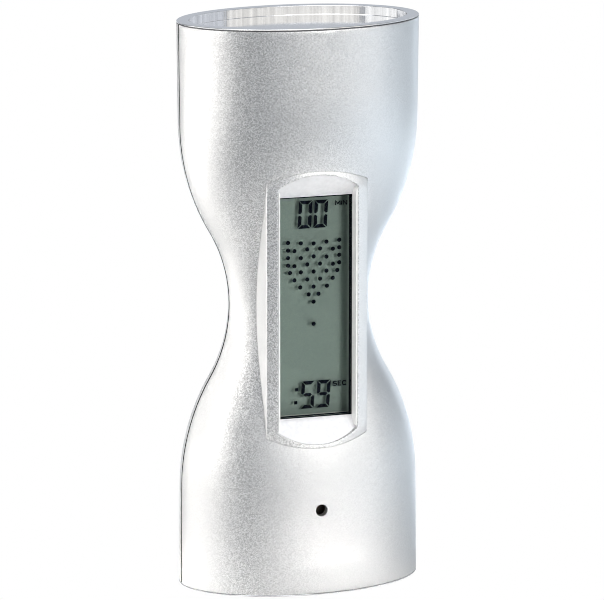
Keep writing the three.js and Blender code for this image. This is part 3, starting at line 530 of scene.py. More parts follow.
# Straight sides with arched ends: (x, z) points about the display's middle.
def archedOutline(half, corner, arch):
    radius = archRadius(half, arch - corner)
    sweep = math.asin(half / radius)
    up = np.linspace(-corner, corner, bezel["sideSteps"], endpoint=False)
    turn = np.pi / 2 + np.linspace(-sweep, sweep, bezel["archSteps"], endpoint=False)
    side = np.stack([half + 0 * up, up], axis=-1)
    top = np.stack([radius * np.cos(turn), arch - radius + radius * np.sin(turn)], axis=-1)
    return np.concatenate([side, top, -side, -top])


def grown(shape, by):  # an arched outline, moved out all round
    return archedOutline(*(value + by for value in bezel[shape]))


def atDepth(outline, y):  # an outline about the display's middle, at one depth or one depth for each point
    return np.stack([outline[:, 0], y + 0 * outline[:, 0], outline[:, 1] + displayMiddle], axis=-1)


# The face is an arc across; along both arches a band of it falls away to the case.
def bezelFace(outline):
    half, corner, arch = bezel["outer"]
    radius = archRadius(half, arch - corner)
    rim = arch - radius + np.sqrt(radius ** 2 - outline[:, 0] ** 2)
    fall = bezel["endSlope"] * np.maximum(0, bezel["endBand"] - rim + np.abs(outline[:, 1]))
    arc = bezel["faceRadius"] - np.sqrt(bezel["faceRadius"] ** 2 - outline[:, 0] ** 2)
    return bezelLow[1] - bezel["proud"] + arc + fall


# A section of outer wall, round edge, curved face, round edge, window wall and bore, carried round.
def makeBezel():
    c, s = quarter(bezel["edgeSteps"])
    outerEdge, windowEdge = bezel["outerEdge"], bezel["windowEdge"]
    outer, bore = grown("outer", 0), grown("outer", -bezel["wall"])
    rings = [atDepth(outer, bezelHigh[1]), atDepth(outer, bezelFace(outer) + 2 * outerEdge)]
    for out, up in zip(1 - c, 1 - s):
        outline = grown("outer", -outerEdge * out)
        rings.append(atDepth(outline, bezelFace(outline) + outerEdge * up))
    for share in np.linspace(0, 1, bezel["faceSteps"])[1:-1]:
        outline = grown("outer", -outerEdge) * (1 - share) + grown("window", windowEdge) * share
        rings.append(atDepth(outline, bezelFace(outline)))
    for out, up in zip((1 - c)[::-1], (1 - s)[::-1]):
        outline = grown("window", windowEdge * out)
        rings.append(atDepth(outline, bezelFace(outline) + windowEdge * up))
    rings += [atDepth(grown("window", 0), lensLow[1]), atDepth(bore, lensLow[1]), atDepth(bore, bezelHigh[1])]
    return loft("display_frame", np.stack(rings), closed=True)


settle(makeBezel(), finish["bezelSilver"], "silver_paint", "display_bezel")


# Display surround: a plate round the lens with a sill above and below, and a lining at the window's sides
surround = {
    "slope": 0.726, "edge": 0.5, "edgeFade": 2.2, "edgeShare": 0.12, "edgeSteps": 10,
    "across": 60, "along": 24, "lining": 0.38, "gap": 0.02, "liningDrop": 0.12, "back": 0.05,
}


# A slope from the lens up to the arch, with a round edge at the lens.
def makeSill(name, side):
    window, room, edge = bezel["window"], surround["gap"], surround["edge"]
    half = window[0] - room
    ledge = lensHigh[2] - displayMiddle + fit
    radius = archRadius(half, window[2] - window[1])
    x = np.linspace(-half, half, surround["across"])[:, None]
    top = window[2] - room - radius + np.sqrt(radius ** 2 - x ** 2)
    share = np.concatenate([np.linspace(0, surround["edgeShare"], surround["edgeSteps"]),
                            np.linspace(surround["edgeShare"], 1, surround["along"])[1:]])[None, :]
    z = ledge + share * (top - ledge)
    drop = edge * np.exp(-(z - ledge) / edge * surround["edgeFade"])
    y = lensLow[1] - surround["slope"] * (z - ledge) + drop
    front = np.stack([x + 0 * z, y, displayMiddle + side * z], axis=-1)
    back = front.copy()
    back[..., 1] = (lensLow[1] + lensHigh[1]) / 2
    return slab(name, front, back)


def makeSurround():
    plateOuter = grown("outer", -bezel["wall"] - fit)
    half = (lensHigh[0] + fit, lensHigh[2] - displayMiddle + fit)
    turn = np.arctan2(plateOuter[:, 1], plateOuter[:, 0])
    reach = np.maximum(np.abs(np.cos(turn)) / half[0], np.abs(np.sin(turn)) / half[1])
    hole = np.stack([np.cos(turn) / reach, np.sin(turn) / reach], axis=-1)
    front, rear = lensLow[1] + surround["back"], lensHigh[1]
    rings = [atDepth(plateOuter, front), atDepth(hole, front), atDepth(hole, rear), atDepth(plateOuter, rear)]
    framePlate = loft("display_surround_frame", np.stack(rings), closed=True)
    for side, name in ((1, "upper sill"), (-1, "lower sill")):
        carve(framePlate, makeSill(name, side), "UNION")
    return framePlate


def makeLining():  # a thin wall along the window's sides, just behind the bezel's face; low round the arches
    outer = grown("window", -surround["gap"])
    inner = grown("window", -surround["gap"] - surround["lining"])
    rear = lensLow[1] + surround["back"]
    beside = np.abs(outer[:, 1]) < bezel["window"][1] - surround["gap"]
    front = np.where(beside, bezelFace(outer) + surround["liningDrop"], rear - surround["liningDrop"])
    rings = [atDepth(outer, rear), atDepth(outer, front), atDepth(inner, front), atDepth(inner, rear)]
    return loft("window_lining", np.stack(rings), closed=True)


settle(makeSurround(), finish["sill"], "pale_gloss", "display_surround")
settle(makeLining(), finish["lining"], "pale_gloss")


# A rectangle with round corners: (x, z) points, moved in by inset.
def roundedOutline(half, corner, inset=0.0, steps=8):
    turns = np.linspace(0, np.pi / 2, steps) + np.arange(4)[:, None] * np.pi / 2
    arcs = np.stack([np.cos(turns), np.sin(turns)], axis=-1) * (corner - inset)
    centres = np.roll(boxCorners, 2, axis=0) * (np.asarray(half) - corner)
    return (centres[:, None] + arcs).reshape(-1, 2)


# A layer of the display: a flat sheet in its node's box, with round corners and a small edge all round.
def layer(name, node, material, slot, front=0.0, rear=0.0, corner=0.4, edge=0.08):
    low, high = nodeBox(node)
    half = (high[0], (high[2] - low[2]) / 2)
    near, far = low[1] + front, high[1] - rear
    steps = ((edge, near), (0, near + edge), (0, far - edge), (edge, far))
    rings = [atDepth(roundedOutline(half, corner, inset), y) for inset, y in steps]
    settle(loft(name, np.stack(rings)), material, slot, node)


# What the display shows; places are about its middle
marks = {
    "depth": 0.02, "room": 0.04, "dotDiameter": 1.1, "dotSides": 20, "columnPitch": 1.69, "rowPitch": 1.935,
    "firstRow": 16.38, "centre": 0.63, "fallingDot": -4.8,
    "digit": {"width": 3.55, "height": 7.1, "stroke": 0.92, "gap": 0.16, "lean": 0.06, "pitch": 4.15,
              "bar": 0.46},
    "minutes": (0.42, 23.35), "seconds": (1.15, -23.1),
    "colon": ((-3.9, -21.6), (-4.1, -24.95)), "colonSide": 0.85,
    "minuteLabel": (7.9, 25.85), "secondLabel": (7.58, -20.65),
}

# The lens's black border: a thin wall round the lens, with a flange behind it that frames the picture. It is
# a printed border such displays carry, and its widths also stand in for the shade along the window's edges:
# painted shade.
border = {"fill": 0.28, "wall": 0.08, "side": 0.55, "end": 0.45, "front": 0.12, "back": 0.16, "flange": 0.05}


def makeBorder():
    outer = np.array([lensHigh[0], lensHigh[2] - displayMiddle]) + border["fill"]
    wall = outer - border["wall"]
    opening = outer - (border["side"], border["end"])
    front, rear = lensLow[1] + border["front"], lensHigh[1] + border["back"]
    flange = rear - border["flange"]
    section = ((outer, front), (wall, front), (wall, flange), (opening, flange), (opening, rear),
               (outer, rear))
    rings = [atDepth(boxCorners * half, y) for half, y in section]
    settle(loft("lens_border", np.stack(rings), closed=True), finish["ink"], "black_rubber")


makeBorder()
layer("display_window", "display_lens", finish["lens"], "clear_lens")
layer("front_polariser", "lcd_front_polariser", finish["film"], "lcd_film")
layer("front_glass", "lcd_front_glass", finish["glass"], "lcd_glass", rear=marks["room"])
layer("rear_glass", "lcd_rear_glass", finish["glass"], "lcd_glass", front=marks["room"])
layer("reflector_film", "lcd_reflector", finish["reflector"], "lcd_film")


# Marks on the display: flat outlines about the display's middle, given the thickness of a film.
def printMarks(name, outlines):
    inkY = nodeBox("lcd_front_glass")[1][1]
    points, faces, count = [], [], 0
    for outline in outlines:
        size = len(outline)
        ring = np.arange(size)
        front = atDepth(outline, inkY - marks["depth"] / 2)
        points += [front, front + (0, marks["depth"], 0)]
        walls = np.stack([ring, np.roll(ring, -1), np.roll(ring, -1) + size, ring + size], axis=-1) + count
        faces += walls.tolist() + [(ring + count).tolist(), (ring + size + count).tolist()]
        count += 2 * size
    settle(makePiece(name, np.concatenate(points), faces), finish["ink"], "black_rubber")


# One digit of seven bars with mitred ends, leaning a little to the right.
def digitBars(names, x, z):
    size = marks["digit"]
    w, h, t, g = size["width"] / 2, size["height"] / 2, size["stroke"], size["gap"]
    bar = t * size["bar"]
    flat = np.array([(-w + g, h), (w - g, h), (w - t - g, h - t), (-w + t + g, h - t)])
    upright = np.array([(0, -g), (t, -t - g), (t, -h + t / 2 + g), (t / 2, -h + g), (0, -h + t / 2 - g / 2)])
    left = upright + (-w, h)
    cross = np.array([(-w + t / 2 + g, 0), (-w + t + g, bar), (w - t - g, bar), (w - t / 2 - g, 0),
                      (w - t - g, -bar), (-w + t + g, -bar)])
    bars = {"top": flat, "bottom": flat * (1, -1), "middle": cross, "upperLeft": left,
            "upperRight": left * (-1, 1), "lowerLeft": left * (1, -1), "lowerRight": left * (-1, -1)}
    return [bars[name] + bars[name][:, 1:] * (size["lean"], 0) + (x, z) for name in names]


litBars = {
    "0": ("top", "bottom", "upperLeft", "upperRight", "lowerLeft", "lowerRight"),
    "5": ("top", "middle", "bottom", "upperLeft", "lowerRight"),
    "9": ("top", "middle", "bottom", "upperLeft", "upperRight", "lowerRight"),
}


def digits(text, spot):
    places = (np.arange(len(text)) - (len(text) - 1) / 2) * marks["digit"]["pitch"]
    return [bar for digit, x in zip(text, places) for bar in digitBars(litBars[digit], spot[0] + x, spot[1])]


# The sand: rows of dots by column, each with how far it hangs below its row.
sandRows = (
    ((-4, 0), (-2, 0.28), (0, 0.55), (2, 0.28), (4, 0)),
    ((-4, 0), (-3, 0.26), (-1, 0), (1, 0), (3, 0.26), (4, 0)),
    ((-4, 0), (-2, 0.24), (0, 0), (2, 0.24), (4, 0)),
    ((-4, 0), (-3, 0.26), (-1, 0), (1, 0), (3, 0.26), (4, 0)),
    ((-3.7, 0), (-2, 0), (0, 0), (2, 0), (3.7, 0)),
    ((-3, 0), (-1, 0), (1, 0), (3, 0)),
    ((-2.08, 0), (0, 0), (2.08, 0)),
    ((-0.77, 0), (0.77, 0)),
    ((0, 0),),
)


def sandDots():
    spots = [(column * marks["columnPitch"], marks["firstRow"] - row * marks["rowPitch"] - drop)
             for row, places in enumerate(sandRows) for column, drop in places]
    spots.append((0, marks["fallingDot"]))
    turn = fullTurn(marks["dotSides"])
    disc = np.stack([np.cos(turn), np.sin(turn)], axis=-1) * marks["dotDiameter"] / 2 + (marks["centre"], 0)
    return [disc + spot for spot in spots]


printMarks("minute_digits", digits("00", marks["minutes"]))
colon = [boxCorners * marks["colonSide"] / 2 + spot for spot in marks["colon"]]
printMarks("second_digits", digits("59", marks["seconds"]) + colon)
printMarks("sand_dots", sandDots())


# Letters of the unit labels: bent strokes in a box of one by one, each drawn as a band of even width.
lettering = {"stroke": 0.31, "height": 1.05, "gap": 0.42, "leastBend": 0.55,
             "width": {"M": 1.15, "I": 0.0, "N": 0.95, "S": 0.85, "E": 0.75, "C": 0.95}}
strokes = {
    "M": (((0, 0), (0, 1), (0.5, 0.3), (1, 1), (1, 0)),),
    "I": (((0, 0), (0, 1)),),
    "N": (((0, 0), (0, 1), (1, 0), (1, 1)),),
    "S": (((1, 0.84), (0.78, 1), (0.22, 1), (0, 0.84), (0, 0.66), (0.22, 0.52), (0.78, 0.48),
           (1, 0.34), (1, 0.16), (0.78, 0), (0.22, 0), (0, 0.16)),),
    "E": (((1, 1), (0, 1), (0, 0), (1, 0)), ((0.22, 0.5), (0.85, 0.5))),
    "C": (((1, 0.8), (0.75, 1), (0.25, 1), (0, 0.75), (0, 0.25), (0.25, 0), (0.75, 0), (1, 0.2)),),
}


# The band's sides lie square to the middle direction at each bend, further out where the bend is sharper.
def strokeBand(path):
    ahead = np.diff(path, axis=0)
    ahead = ahead / np.linalg.norm(ahead, axis=1)[:, None]
    before, after = np.concatenate([ahead[:1], ahead]), np.concatenate([ahead, ahead[-1:]])
    along = (before + after) / np.linalg.norm(before + after, axis=1)[:, None]
    reach = lettering["stroke"] / 2 / np.maximum((along * before).sum(axis=1), lettering["leastBend"])
    side = np.stack([-along[:, 1], along[:, 0]], axis=-1) * reach[:, None]
    return np.concatenate([path + side, (path - side)[::-1]])


def unitLabel(word, spot):
    gap, tall = lettering["gap"], lettering["height"]
    widths = np.array([lettering["width"][letter] for letter in word])
    starts = np.cumsum(widths + gap) - widths - gap
    starts = starts - (widths.sum() + gap * (len(word) - 1)) / 2
    return [strokeBand((np.array(path) - (0, 0.5)) * (width, tall) + (start + spot[0], spot[1]))
            for letter, width, start in zip(word, widths, starts) for path in strokes[letter]]


printMarks("minute_label", unitLabel("MIN", marks["minuteLabel"]))
printMarks("second_label", unitLabel("SEC", marks["secondLabel"]))
print("display made")


# Case halves: bosses, posts and the buzzer's ring inside, then the openings
soundHole = {"radius": 1.5, "height": 21.9, "mouth": 0.2, "start": -10}
fittings = {
    "boss": 2.55, "bossPilot": 1.15, "bossPilotEnd": -7.8,
    "post": 2.5, "postPilot": 0.85, "boardPilotEnd": -9.3, "keyPilotEnd": 13.1,
    "headBoss": 4.1, "counterbore": 2.7, "headSeat": 4.2, "shankHole": 1.3,
    "keyHoleStart": 3, "doorStart": 1.0,
    "ring": 11.3, "ringSeat": 10.3, "ringBore": 9.3, "ringEnd": 1.5, "ringSides": 96, "mouth": 0.25,
    "rodSides": 40, "mouthSides": 56, "mouthSteps": 6, "far": 40.0,
}
keyNames = ("minute", "second", "start")
caseScrews = ["case_screw_%d" % k for k in (1, 2, 3, 4)]
boardScrews = ["board_screw_%d" % k for k in (1, 2, 3, 4)]
keyScrews = ["key_screw_%d" % k for k in (1, 2)]
seamGap = nodeBox("rear_shell")[0][1]


# A rod along Y from a flat start to an end that follows the case, moved in by inset.
def wallRod(radius, x, z, start, side, inset=caseShape["wall"] / 2, sides=fittings["rodSides"]):
    turn = fullTurn(sides)
    share = np.array([nearAxis, 1, 1, 0.8, 0.6, 0.4, 0.2, nearAxis])[:, None]
    px = x + radius * share * np.cos(turn)
    pz = z + radius * share * np.sin(turn)
    flat = np.arange(share.size)[:, None] < 2  # the first two rings are the flat start
    return loft("rod", np.stack([px, np.where(flat, start, side * caseDepth(px, pz, inset)), pz], axis=-1))


# A cutter along Y whose edge where it leaves the case is rounded; the rounding follows the case.
def mouthCutter(radius, mouth, x, z, start, side):
    c, s = quarter(fittings["mouthSteps"])
    turn = fullTurn(fittings["mouthSides"])
    size = np.concatenate([[radius], radius + mouth * (1 - c), [radius + mouth]])[:, None]
    inset = np.concatenate([[mouth], mouth * (1 - s), [0]])[:, None]
    px = x + size * np.cos(turn)
    pz = z + size * np.sin(turn)
    y = side * caseDepth(px, pz, inset)
    y[0] = start
    y[-1] = side * fittings["far"]
    return loft("cutter", np.stack([px, y, pz], axis=-1))


def wallRods(radius, nodes, start, side):
    return [wallRod(radius, *centreOf(node)[::2], start, side) for node in nodes]


def drills(profile, nodes):  # turned cutters in line with nodes
    sides = fittings["rodSides"]
    return [turned("cutter", profile, centreOf(node) * (1, 0, 1), sides=sides) for node in nodes]


def fitFront():
    f = fittings
    discLow, discHigh = nodeBox("buzzer_disc")
    buzzer = (0, soundHole["height"])
    inside = wallRods(f["boss"], caseScrews, -seamGap, -1)
    inside += wallRods(f["post"], boardScrews, nodeBox("main_board")[0][1] - fit, -1)
    inside.append(wallRod(f["ring"], *buzzer, discHigh[1] + f["ringEnd"], -1, sides=f["ringSides"]))
    carve(frontShell, gather("inside", inside), "UNION")
    carve(frontShell, wallRod(f["ringBore"], *buzzer, 0, -1, caseShape["wall"] + fit, f["ringSides"]))
    seat = [(f["ringSeat"], discLow[1] - fit), (f["ringSeat"], 0)]
    carve(frontShell, turned("cutter", seat, (0, 0, soundHole["height"]), sides=f["ringSides"]))
    cutters = drills([(f["bossPilot"], f["bossPilotEnd"]), (f["bossPilot"], overrun)], caseScrews)
    cutters += drills([(f["postPilot"], f["boardPilotEnd"]), (f["postPilot"], overrun)], boardScrews)
    cutters.append(mouthCutter(soundHole["radius"], soundHole["mouth"], *buzzer, soundHole["start"], -1))
    carve(frontShell, gather("cutter", cutters))
    opening = grown("outer", bezel["caseGap"])
    carve(frontShell, loft("cutter", np.stack([atDepth(opening, -f["far"]), atDepth(opening, 0.0)])))
    settle(frontShell, finish["silver"], "silver_paint", "front_shell")


def fitRear():
    f = fittings
    inside = wallRods(f["headBoss"], caseScrews, seamGap, 1)
    inside += wallRods(f["post"], keyScrews, nodeBox("key_board")[1][1] + fit, 1)
    carve(rearShell, gather("inside", inside), "UNION")
    screwWay = [(f["shankHole"], -overrun), (f["shankHole"], f["headSeat"])]
    screwWay += [(f["counterbore"], f["headSeat"]), (f["counterbore"], f["far"])]
    cutters = drills(screwWay, caseScrews)
    cutters += drills([(f["postPilot"], 0), (f["postPilot"], f["keyPilotEnd"])], keyScrews)
    for key in keyNames:
        low, high = nodeBox(key + "_button")
        radius = (high[0] - low[0]) / 2 - button["flange"] + fit
        cutters.append(mouthCutter(radius, f["mouth"], *centreOf(key + "_button")[::2], f["keyHoleStart"], 1))
    low, high = nodeBox("battery_door")
    corners = boxCorners * ((high - low)[::2] / 2 + fit) + centreOf("battery_door")[::2]
    doorway = np.stack([np.insert(corners, 1, y, axis=1) for y in (f["doorStart"], f["far"])])
    carve(rearShell, gather("cutter", cutters + [loft("cutter", doorway)]))
    settle(rearShell, finish["silver"], "silver_paint", "rear_shell")


# Buttons: a flange, a stem, a round edge and a face that follows the case,
# with a shallow finger dish and a fine ring
button = {
    "flange": 1.2, "flangeHeight": 1.0, "flangeEdge": 0.15, "proud": 0.9, "edge": 0.5, "edgeSteps": 7,
    "dish": 0.3, "ring": 0.1, "ringAt": 0.82, "ringWidth": 0.03, "hub": 0.05, "faceSteps": 34, "sides": 96,
}


def makeButton(key):
    low, high = nodeBox(key + "_button")
    x, _, z = centreOf(key + "_button")
    wide = (high[0] - low[0]) / 2
    radius = wide - button["flange"]
    edge, top, bevel = button["edge"], button["flangeHeight"], button["flangeEdge"]
    c, s = quarter(button["edgeSteps"])
    share = np.linspace(1, nearAxis, button["faceSteps"])
    groove = button["ring"] * np.exp(-((share - button["ringAt"]) / button["ringWidth"]) ** 2)
    hollow = button["dish"] * (1 - share ** 2) ** 2 + groove
    base = np.array([(button["hub"], 0), (wide - bevel, 0), (wide, bevel), (wide, top - bevel),
                     (wide - bevel, top), (radius, top)])
    size = np.concatenate([base[:, 0], radius - edge * (1 - c), (radius - edge) * share[1:]])[:, None]
    drop = np.concatenate([edge * (1 - s), hollow[1:]])[:, None]
    turn = fullTurn(button["sides"])
    px = x + size * np.cos(turn)
    pz = z + size * np.sin(turn)
    foot = low[1] + base[:, 1:] + 0 * turn
    face = caseDepth(px, pz, -button["proud"])[len(base):] - drop
    piece = loft(key + "_key_cap", np.stack([px, np.concatenate([foot, face]), pz], axis=-1))
    settle(piece, finish["button"], "button_plastic", key + "_button", body=key + "_key")


# A plate along Y on any outline drawn in X and Z; its edges are a little rounded.
def plate(name, outline, centre, yLow, yHigh, edge):
    reach = np.abs(outline).max()
    steps = ((edge, yLow), (0, yLow + edge), (0, yHigh - edge), (edge, yHigh))
    rings = [np.insert(outline * (1 - inset / reach) + centre, 1, y, axis=1) for inset, y in steps]
    return loft(name, np.stack(rings))


# A small push switch: a plunger with round edges in a square body that has a collar and four rivets
pushSwitch = {
    "corner": 0.4, "edge": 0.2, "collar": 2.2, "collarHeight": 0.35, "bore": 1.75, "boreBelow": 0.8,
    "rivet": 0.35, "rivetAt": 2.3, "rivetRise": (0.05, 0.15), "rivetSides": 20,
}


def makePlunger(key):
    low, high = nodeBox(key + "_plunger")
    x, _, z = centreOf(key + "_plunger")
    radius, edge = high[0] - x, pushSwitch["edge"]
    profile = [(nearAxis, low[1]), (radius - edge, low[1]), (radius, low[1] + edge)]
    profile += [(radius, high[1] - edge), (radius - edge / 2, high[1] - edge / 4)]
    profile += [(radius - edge, high[1]), (nearAxis, high[1])]
    piece = turned(key + "_key_plunger", profile, (x, 0, z))
    settle(piece, finish["plunger"], "plunger_black", key + "_plunger", body=key + "_key")


def makeSwitch(key):
    p = pushSwitch
    low, high = nodeBox(key + "_switch")
    plungerLow = nodeBox(key + "_plunger")[0]
    x, _, z = centreOf(key + "_plunger")
    under, top = high[1] - 2 * p["collarHeight"], high[1] - p["collarHeight"]
    square = roundedOutline(high[0] - x, p["corner"])
    body = plate(key + "_key_switch", square, (x, z), low[1], top, p["edge"])
    carve(body, turned("collar", [(p["collar"], under), (p["collar"], high[1])], (x, 0, z)), "UNION")
    rivet, (brim, crown) = p["rivet"], p["rivetRise"]
    dome = [(rivet, under), (rivet, top + brim), (rivet / 2, top + crown)]
    for spot in np.roll(boxCorners, 2, axis=0) * p["rivetAt"]:
        head = turned("rivet", dome, (x + spot[0], 0, z + spot[1]), sides=p["rivetSides"])
        carve(body, head, "UNION")
    bore = [(p["bore"], plungerLow[1] - p["boreBelow"]), (p["bore"], high[1] + overrun)]
    carve(body, turned("cutter", bore, (x, 0, z)))
    settle(body, finish["brightSteel"], "bright_steel", key + "_switch")


# The battery door: a piece of the case's skin with round edges, and a finger scoop with ribs across it
door = {
    "edge": 0.4, "edgeSteps": 6, "columns": 190, "rows": 84, "scoop": 4.5, "scoopDepth": 0.75,
    "scoopBelow": 6.0, "rib": 0.28, "ribPitch": 1.5, "ribReach": 0.85, "ribFade": 4,
}


def edgeSpread(low, high, count):  # places from low to high, closer together over the round edges
    rim = door["edge"] * (1 - quarter(door["edgeSteps"])[0])
    flat = np.linspace(low + door["edge"], high - door["edge"], count)[1:-1]
    return np.concatenate([low + rim, flat, (high - rim)[::-1]])


def makeDoor():
    low, high = nodeBox("battery_door")
    edge = door["edge"]
    x = edgeSpread(low[0], high[0], door["columns"])[:, None]
    z = edgeSpread(low[2], high[2], door["rows"])[None, :]
    inside = np.minimum(np.minimum(x - low[0], high[0] - x), np.minimum(z - low[2], high[2] - z))
    drop = edge - np.sqrt(edge ** 2 - (edge - np.minimum(inside, edge)) ** 2)
    across = np.sqrt(x ** 2 + (z - high[2] - fit + door["scoopBelow"]) ** 2) / door["scoop"]
    scoop = door["scoopDepth"] * np.clip(1 - across ** 4, 0, 1)
    wave = 0.5 + 0.5 * np.cos(2 * np.pi * z / door["ribPitch"])
    ribs = door["rib"] * wave * np.clip(door["ribFade"] * (door["ribReach"] - across), 0, 1)
    depths = (caseDepth(x, z) - drop - scoop + ribs, caseDepth(x, z, caseShape["wall"]))
    front, back = (np.stack([x + 0 * z, y, z + 0 * x], axis=-1) for y in depths)
    settle(slab("battery_cover", front, back), finish["silver"], "silver_paint", "battery_door", body="door")


# A tongue in the seam on each side, so that no light shows through: a thin sheet along the case's outline.
tongue = {"from": 0.45, "to": 1.6, "ends": 0.3, "clear": 0.01, "levels": 120, "across": 4}


def makeTongue(side):
    low, high = caseShape["endGap"][0] + tongue["ends"], height - caseShape["endGap"][1] - tongue["ends"]
    z = np.linspace(low, high, tongue["levels"])[:, None]
    inset = np.linspace(tongue["from"], tongue["to"], tongue["across"])[None, :]
    x = side * (halfSize(widthArcs, z) - inset)
    half = seamGap - tongue["clear"]
    front, back = (np.stack([x, y + 0 * x, z + 0 * x], axis=-1) for y in (-half, half))
    return slab("tongue", front, back)


settle(gather("seam_tongue", [makeTongue(-1), makeTongue(1)]), finish["plunger"], "plunger_black")
fitFront()
fitRear()
for key in keyNames:
    makeButton(key)
    makePlunger(key)
    makeSwitch(key)
makeDoor()
print("case fittings, keys and door made")


# Screws: a pan head with a tapered cross recess, and a thread that winds round the shank
screwKinds = {
    "case": {"headRadius": 2.4, "head": 1.7, "core": 0.78, "crest": 1.1, "pitch": 1.0, "length": 12.0},
    "small": {"headRadius": 1.7, "head": 1.1, "core": 0.55, "crest": 0.8, "pitch": 0.7, "length": 6.0},
}
screwForm = {
    "sides": 28, "domeSteps": 9, "domeStart": 0.04, "brim": 0.45, "rim": 0.12, "rimIn": 0.1, "stepsEach": 9,
    "thread": 0.32, "runOut": 2, "threadEnd": 0.8, "tip": 0.4, "tipShare": 0.7, "point": 0.05,
}
recess = {"arm": 0.58, "half": 0.13, "floor": 0.35, "taper": 0.7, "over": 1.05}


def makeScrew(kind):
    size, form = screwKinds[kind], screwForm
    radius, head, core, length = size["headRadius"], size["head"], size["core"], size["length"]
    turn = fullTurn(form["sides"])
    swing = np.linspace(form["domeStart"], 1, form["domeSteps"]) * np.pi / 2
    crown = head * (form["brim"] + (1 - form["brim"]) * np.cos(swing))
    dome = np.stack([radius * np.sin(swing), crown], axis=-1)
    rim = np.array([(radius, form["rim"] * head), (radius - form["rimIn"] * head, 0), (size["crest"], 0)])
    along = np.linspace(0, -length + form["threadEnd"], int(length / size["pitch"] * form["stepsEach"]))[1:]
    phase = np.mod(along[:, None] / size["pitch"] + turn / (2 * np.pi), 1)
    fade = np.minimum(1, (along + length) / form["runOut"])[:, None]
    ridge = np.clip(1 - np.abs(phase - 0.5) / form["thread"], 0, 1) * fade
    tip = np.array([(core * form["tipShare"], -length + form["tip"]), (form["point"], -length)])
    shank = core + (size["crest"] - core) * ridge
    wide = np.concatenate([dome[:, :1] + 0 * turn, rim[:, :1] + 0 * turn, shank, tip[:, :1] + 0 * turn])
    y = np.concatenate([dome[:, 1], rim[:, 1], along, tip[:, 1]])[:, None] + 0 * turn
    made = loft("screw", np.stack([wide * np.cos(turn), y, wide * np.sin(turn)], axis=-1))
    arm, half = recess["arm"] * radius, recess["half"] * radius
    for bar in ((arm, half), (half, arm)):
        ends = ((recess["taper"], recess["floor"] * head), (1, recess["over"] * head))
        rings = [np.insert(boxCorners * bar * share, 1, y, axis=1) for share, y in ends]
        carve(made, loft("cutter", np.stack(rings)))
    return made


def placeScrews(kind, nodes, name, flip=False):
    pattern = makeScrew(kind)
    head = screwKinds[kind]["head"]
    for number, node in enumerate(nodes, 1):
        low, high = nodeBox(node)
        x, _, z = centreOf(node)
        mesh = pattern.data.copy()
        mesh.transform(Matrix.Rotation(math.pi if flip else 0, 4, "Z"))
        mesh.transform(Matrix.Translation(Vector((x, low[1] + head if flip else high[1] - head, z)) * mm))
        settle(showMesh("%s_%d" % (name, number), mesh), finish["screwSteel"], "screw_steel", node)
    bpy.data.objects.remove(pattern)


placeScrews("case", caseScrews, "case_fixing")
placeScrews("small", boardScrews, "board_fixing")
placeScrews("small", keyScrews, "key_fixing", flip=True)
print("screws made")


# Power: cells turned about X, cone springs, and stamped contacts with a solder tab
# A cell's sections are (radius, along) pairs, from the foot up and from the shoulder up.
cell = {
    "foot": ((0.05, 0.25), (3.5, 0.25), (3.8, 0), (4.4, 0), (4.5, 0.2), (4.7, 0.2), (4.8, 0.05), (5.05, 0.1),
             (5.15, 0.35)),
    "shoulder": ((5.15, -0.35), (5.05, -0.1), (4.8, 0), (4.6, -0.05), (4.5, -0.5), (2.6, -0.5), (2.1, -0.35),
                 (1.9, 0), (1.9, 0.5), (1.8, 0.7), (1.55, 0.8), (0.05, 0.8)),
    "nub": 0.8, "sides": 72, "sharp": 40,
}
spring = {"wire": 0.25, "wide": 3.4, "narrow": 2.2, "turns": 3, "stepsEach": 40, "sides": 12, "length": 3.4,
          "sharp": 60}
contact = {"corner": 0.5, "cornerSteps": 7, "tabHalf": 1.3, "hole": 0.45, "holeUp": 1.0, "holeSides": 20}


def makeCell(name, node, side):
    low, high = nodeBox(node)
    _, y, z = centreOf(node)
    foot, top = (low[0], high[0]) if side > 0 else (-high[0], -low[0])
    shoulder = top - cell["nub"]
    profile = np.concatenate([np.array(cell["foot"]) + (0, foot), np.array(cell["shoulder"]) + (0, shoulder)])
    piece = turned(name, profile * (1, side), (0, y, z), "x", cell["sides"], cell["sharp"])
    film = cellFilm(side, shoulder, foot)
    jacket = grained(name + " jacket", film, 0.28, perMetre=500.0, tone=0.12, Coat_Weight=0.4)
    settle(piece, jacket, "cell_jacket", node)


# A round wire along a helix that narrows. Each ring round it has two axes: the radius, and the direction
# square to the radius and to the path.
def makeSpring(name, node, side):
    _, y, z = centreOf("battery_low" if side < 0 else "battery_high")
    wideX = nodeBox("contact_negative")[0][0] - fit - spring["wire"]
    share = np.linspace(0, 1, spring["turns"] * spring["stepsEach"] + 1)
    turn = share * spring["turns"] * 2 * np.pi
    radius = spring["wide"] + (spring["narrow"] - spring["wide"]) * share
    along = wideX - share * (spring["length"] - 2 * spring["wire"])
    path = np.stack([along, radius * np.cos(turn), radius * np.sin(turn)], axis=-1) * (side, side, 1)
    out = np.stack([0 * turn, np.cos(turn), np.sin(turn)], axis=-1) * (1, side, 1)
    ahead = np.gradient(path, axis=0)
    third = np.cross(ahead / np.linalg.norm(ahead, axis=1)[:, None], out)
    bend = fullTurn(spring["sides"])[:, None]
    rings = path[:, None] + spring["wire"] * (np.cos(bend) * out[:, None] + np.sin(bend) * third[:, None])
    settle(loft(name, rings + (0, y, z), sharp=spring["sharp"]), finish["brightSteel"], "bright_steel", node)


